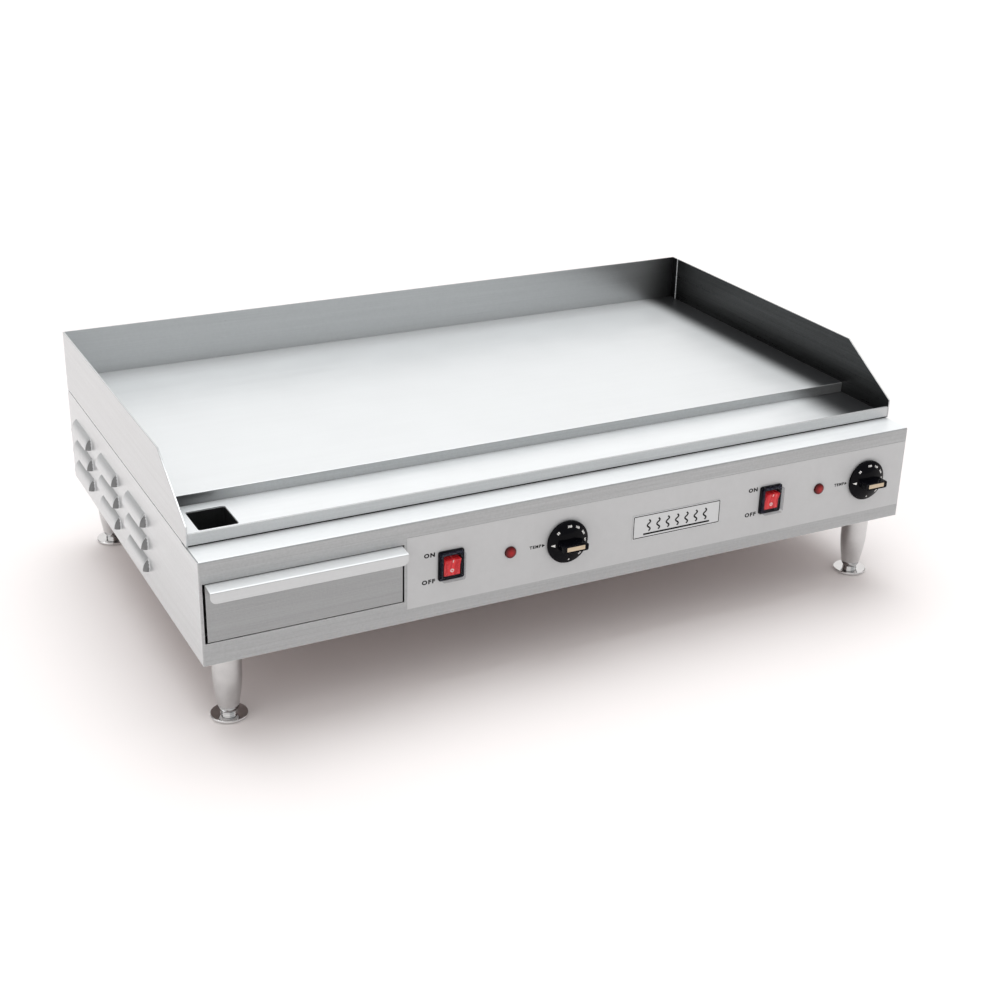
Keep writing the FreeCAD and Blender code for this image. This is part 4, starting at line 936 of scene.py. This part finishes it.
low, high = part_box("insulation_blanket")
blanket = outline_of("insulation_blanket")
tuft = 14 * mm
for axis in (0, 1):
    along = Vector((axis == 0, axis == 1, 0))
    for k in range(1, int((high[axis] - low[axis]) / tuft)):
        bmesh.ops.bisect_plane(blanket, geom=blanket.verts[:] + blanket.edges[:] + blanket.faces[:],
                               plane_co=low + along * k * tuft, plane_no=along)
half_thick = (high.z - low.z) / 2
for vertex in blanket.verts:
    sag = 1.4 * mm * (0.5 + 0.5 * noise.noise(vertex.co * 60))
    vertex.co.z -= math.copysign(sag, vertex.co.z - low.z - half_thick)
blanket_piece = piece_from("wool_blanket", blanket, wool, sharp=60)
standing_for(blanket_piece, "mineral_wool", "insulation_blanket")

# ------------------------------------------------------------------ cooking plate
# A half-inch steel plate, ground along its length and polished by use. Its front
# edge is left as rolled; it is a darker copy of the finish, near-black at its left
# end, as painted shade. Along the right guard the top darkens as a painted
# reflection of the guard.

guard_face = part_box("splash_right")[1].x - 2 * mm
# Painted reflection: the top darkens in a band along the right guard.
plate_steel = brushed("ground_plate_steel", 0.82, "X", metal=0.4, rough=0.33, streak=0.025, blotch=60 * mm,
                      scratch=0.05, edge_wear_and_sheen=0.2, painted_darkening=("X", guard_face - 66 * mm, guard_face - 22 * mm))
plate_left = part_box("griddle_plate")[0].x
# Painted shade: the forward face is a darker copy of the finish, near-black at the left end.
plate_edge_shaded_steel = brushed("plate_edge_shaded_steel", 0.50, "X", metal=0.8, rough=0.36, streak=0.15,
                           blotch=3 * mm, edge_wear_and_sheen=0.0,
                           painted_darkening=("X", plate_left + 130 * mm, plate_left - 30 * mm))
plate = eased("cooking_plate", "griddle_plate", plate_steel, 0.3 * mm)
second_finish(plate, plate_edge_shaded_steel, lambda face: face.normal.y < -0.5)

# ------------------------------------------------------------------ splash guards
# Two-millimetre stainless sheets stand round three sides of the plate. The sides
# slope down to the front, and all three are welded to the plate and each other.

# Painted reflection: the back guard darkens to near-black towards the right-hand corner.
guard_steel = brushed("guard_steel", 0.53, "X", metal=0.85, rough=0.32, streak=0.08, scratch=0.03, edge_wear_and_sheen=0.1,
                      painted_darkening=("X", guard_face - 75 * mm, guard_face + 10 * mm))
left_guard_steel = brushed("left_guard_steel", 0.64, "Y", streak=0.13, blotch=3 * mm, edge_wear_and_sheen=0.15)
right_guard_steel = brushed("right_guard_steel", 0.60, "Y", streak=0.08, edge_wear_and_sheen=0.3)
# Painted shade and reflection: the right guard's inner face gets a near-black copy of the steel.
right_guard_shade_steel = brushed("right_guard_shade_steel", 0.085, "Y", metal=1.0, rough=0.30,
                         streak=0.35, blotch=2 * mm, edge_wear_and_sheen=0.4)
outer_steel = brushed("outer_guard_steel", 0.60, "X", streak=0.08, edge_wear_and_sheen=0.2)
back_guard = eased("back_guard", "splash_back", guard_steel, 0.35 * mm)
second_finish(back_guard, outer_steel, lambda face: face.normal.y > 0.9)
eased("left_guard", "splash_left", left_guard_steel, 0.35 * mm)
right_guard = eased("right_guard", "splash_right", right_guard_steel, 0.35 * mm)
second_finish(right_guard, right_guard_shade_steel, lambda face: face.normal.x < -0.9)

tree, given, result, add, join = growing(
    "weld_ripples", [("Ripple", "Float"), ("Bead radius", "Float"), ("Unevenness", "Float"),
                     ("Seed", "Int"), ("Weld", "Material")])
as_curve = add("GeometryNodeMeshToCurve")
pitch = add("GeometryNodeResampleCurve", mode="LENGTH")
drop = add("GeometryNodeMeshUVSphere")
drop.inputs["Segments"].default_value = 10
drop.inputs["Rings"].default_value = 6
uneven = add("FunctionNodeRandomValue", data_type="FLOAT")
least = add("ShaderNodeMath", operation="SUBTRACT")
least.inputs[0].default_value = 1.0
uneven.inputs["Max"].default_value = 1.0
placed = add("GeometryNodeInstanceOnPoints")
solid = add("GeometryNodeRealizeInstances")
smooth = add("GeometryNodeSetShadeSmooth")
welded = add("GeometryNodeSetMaterial")
join(given["Geometry"], as_curve.inputs[0])
join(as_curve.outputs[0], pitch.inputs["Curve"])
join(given["Ripple"], pitch.inputs["Length"])
join(given["Bead radius"], drop.inputs["Radius"])
join(given["Unevenness"], least.inputs[1])
join(least.outputs[0], uneven.inputs["Min"])
join(given["Seed"], uneven.inputs["Seed"])
join(pitch.outputs[0], placed.inputs["Points"])
join(drop.outputs["Mesh"], placed.inputs["Instance"])
join(uneven.outputs["Value"], placed.inputs["Scale"])
join(placed.outputs[0], solid.inputs[0])
join(solid.outputs[0], smooth.inputs[0])
join(smooth.outputs[0], welded.inputs["Geometry"])
join(given["Weld"], welded.inputs["Material"])
join(welded.outputs[0], result)
back_low, back_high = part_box("splash_back")
left_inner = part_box("splash_left")[0].x + 2 * mm
plate_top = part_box("griddle_plate")[1].z
weld_metal = brushed("weld_metal", 0.62, "Z", rough=0.3, streak=0.08, edge_wear_and_sheen=0.0)
for side, x in (("left", left_inner), ("right", guard_face)):
    seam = bpy.data.meshes.new("seam")
    seam.from_pydata([(x, back_low.y, plate_top), (x, back_low.y, back_high.z - 1.2 * mm)], [(0, 1)], [])
    bead = grown(f"{side}_corner_weld", seam, tree,
                 {"Ripple": 0.9 * mm, "Bead radius": 1.1 * mm, "Unevenness": 0.22, "Seed": 3,
                  "Weld": weld_metal})
    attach(bead, "case")

# ----------------------------------------------------------------- grease trough
# A stainless floor is welded in front of the plate, with a thick bar as its lip.
# Grease is scraped to the left, down a square drain throat into the drawer.

# Painted reflection: the trough floor darkens to near-black towards its right-hand end.
trough_steel = brushed("trough_steel", 0.88, "X", metal=0.4, rough=0.33, streak=0.03,
                       blotch=40 * mm, edge_wear_and_sheen=0.2,
                       painted_darkening=("X", guard_face - 96 * mm, guard_face - 28 * mm))
lip_steel = brushed("lip_steel", 0.56, "X", metal=0.5, rough=0.36, streak=0.12, blotch=3 * mm, edge_wear_and_sheen=0.5)
# Painted shade: the drain throat is given a near-black finish for the shade down inside it.
throat_shade_steel = brushed("throat_shade_steel", 0.10, "Z", metal=0.9, rough=0.4, streak=0.2, edge_wear_and_sheen=0.0)
floor_shape = outline_of("grease_trough", "drain_plate")
seam_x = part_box("grease_trough")[0].x
joined = [face for face in floor_shape.faces
          if all(abs(vertex.co.x - seam_x) < 0.01 * mm for vertex in face.verts)]
bmesh.ops.delete(floor_shape, geom=joined, context="FACES")
bmesh.ops.remove_doubles(floor_shape, verts=floor_shape.verts, dist=0.01 * mm)
bmesh.ops.dissolve_limit(floor_shape, angle_limit=math.radians(0.4),
                         verts=floor_shape.verts, edges=floor_shape.edges)
trough_piece = piece_from("trough_floor", floor_shape, trough_steel)
ease_edges(trough_piece, 0.35 * mm)
standing_for(trough_piece, "stainless", "grease_trough", "drain_plate")
eased("trough_front_bar", "trough_lip", lip_steel, 0.5 * mm)
eased("drain_throat", "drain_chute", throat_shade_steel, 0.25 * mm)

# ---------------------------------------------------------------------- top seal
# A black heatproof strip keeps grease out of the joint between the welded top
# and the case. It is set in a little, and its near-black colour also stands as
# painted shadow in the gap, so that it shows as a fine dark line.

seal_rubber = moulded("seal_rubber", (0.006, 0.006, 0.006), 0.75, speck=0.3, pore=0.5)
dressed("top_seal", seal_rubber)

# ----------------------------------------------------------------- legs and feet
# Cast legs, turned to a bullet shape and satin plated, are bolted up through the
# case floor. A bright plated foot screws into each one to level the machine.


def plated_satin(name, tone, rough, streak):
    """Nickel-chrome plate with faint turning marks round the piece."""
    material, shader, add, join = recipe(name)
    source = add("TexCoord")
    turning = grained(add, join, source, "turning marks", (40, 40, 1900), detail=2.0)
    cloud = grained(add, join, source, "plate bloom", (60, 60, 60), detail=3.0)
    bloom = between(add, join, cloud, [tone * (1 - streak)] * 3, [tone * (1 + streak)] * 3, 0.3, 0.7)
    join(bloom, shader.inputs["Base Color"])
    join(ranged(add, join, turning, 0.3, 0.7, rough * 0.8, rough * 1.3), shader.inputs["Roughness"])
    textured(add, join, shader, turning, 0.05, 0.05 * mm)
    shader.inputs["Metallic"].default_value = 1.0
    return material


leg_satin = plated_satin("satin_plate", 0.58, 0.12, 0.06)
foot_bright = plated_satin("bright_plate", 0.74, 0.07, 0.04)
for corner in ("front_left", "front_right", "rear_left", "rear_right"):
    eased(f"{corner}_leg_casting", f"leg_{corner}", leg_satin, 0.5 * mm)
    eased(f"{corner}_levelling_foot", f"foot_{corner}", foot_bright, 0.4 * mm)

# -------------------------------------------------------------- worktop and light
# The machine stands on a plain pale worktop under a large soft light from above
# and behind, in a pale room that is darker at the far left and dim at the front.

worktop_shape = bmesh.new()
bmesh.ops.create_grid(worktop_shape, x_segments=1, y_segments=1, size=30)
for vertex in worktop_shape.verts:
    vertex.co.z = cad_box[0].z
pale, shader, add, join = recipe("pale_worktop")
source = add("TexCoord")
cloud = grained(add, join, source, "worktop", (3, 3, 3))
join(between(add, join, cloud, (0.935, 0.895, 0.885), (0.955, 0.915, 0.905)), shader.inputs["Base Color"])
shader.inputs["Roughness"].default_value = 0.75
shader.inputs["Specular IOR Level"].default_value = 0.1
worktop = piece_from("worktop", worktop_shape, pale)

room = bpy.data.worlds.new("room")
scene.world = room
room.use_nodes = True
sky = room.node_tree
look = sky.nodes.new("ShaderNodeTexCoord")
shell = sky.nodes["Background"]


def toward(azimuth, elevation, inner, outer):
    """1 near a direction and 0 away from it. Azimuth is from +Y towards +X, in degrees."""
    a, e = math.radians(azimuth), math.radians(elevation)
    aim = sky.nodes.new("ShaderNodeVectorMath")
    aim.operation = "DOT_PRODUCT"
    aim.inputs[1].default_value = (math.sin(a) * math.cos(e), math.cos(a) * math.cos(e), math.sin(e))
    sky.links.new(look.outputs["Generated"], aim.inputs[0])
    near = sky.nodes.new("ShaderNodeMapRange")
    near.interpolation_type = "SMOOTHSTEP"
    near.inputs["From Min"].default_value = math.cos(math.radians(outer))
    near.inputs["From Max"].default_value = math.cos(math.radians(inner))
    sky.links.new(aim.outputs["Value"], near.inputs["Value"])
    return near.outputs["Result"]


def washed(colour, factor, paint):
    """Paints a tone over the room where the factor is 1."""
    wash = sky.nodes.new("ShaderNodeMix")
    wash.data_type = "RGBA"
    wash.inputs["B"].default_value = (*paint, 1)
    sky.links.new(factor, wash.inputs["Factor"])
    if colour is None:
        wash.inputs["A"].default_value = (0.95, 0.928, 0.918, 1)
    else:
        sky.links.new(colour, wash.inputs["A"])
    return wash.outputs["Result"]


walls = washed(None, toward(-40, 24, 9, 25), (0.03, 0.032, 0.035))
walls = washed(walls, toward(152, 20, 20, 48), (0.52, 0.525, 0.53))
walls = washed(walls, toward(75, 20, 8, 26), (0.16, 0.165, 0.17))
sky.links.new(walls, shell.inputs["Color"])
shell.inputs["Strength"].default_value = 1.0

overhead = bpy.data.lights.new("overhead", "SUN")
overhead.energy = 1.25
overhead.angle = math.radians(50)
overhead.color = (0.96, 1.0, 1.02)
overhead_lamp = bpy.data.objects.new("overhead", overhead)
overhead_lamp.rotation_euler = Vector((-0.06, -0.32, -1)).to_track_quat("-Z", "Y").to_euler()
scene.collection.objects.link(overhead_lamp)
scene.view_settings.view_transform = "Standard"

# ------------------------------------------------------------------------ camera

lens_view = bpy.data.cameras.new("camera")
lens_view.lens = 57.25
lens_view.sensor_width = 36
lens_view.clip_start = 0.05
lens_view.clip_end = 100
camera = bpy.data.objects.new("camera", lens_view)
camera.matrix_world = Matrix((
    (0.88876, 0.16846, -0.42630, -0.85658),
    (-0.45771, 0.37631, -0.80554, -1.67210),
    (0.02472, 0.91105, 0.41156, 0.92813),
    (0, 0, 0, 1)))
scene.collection.objects.link(camera)
scene.camera = camera
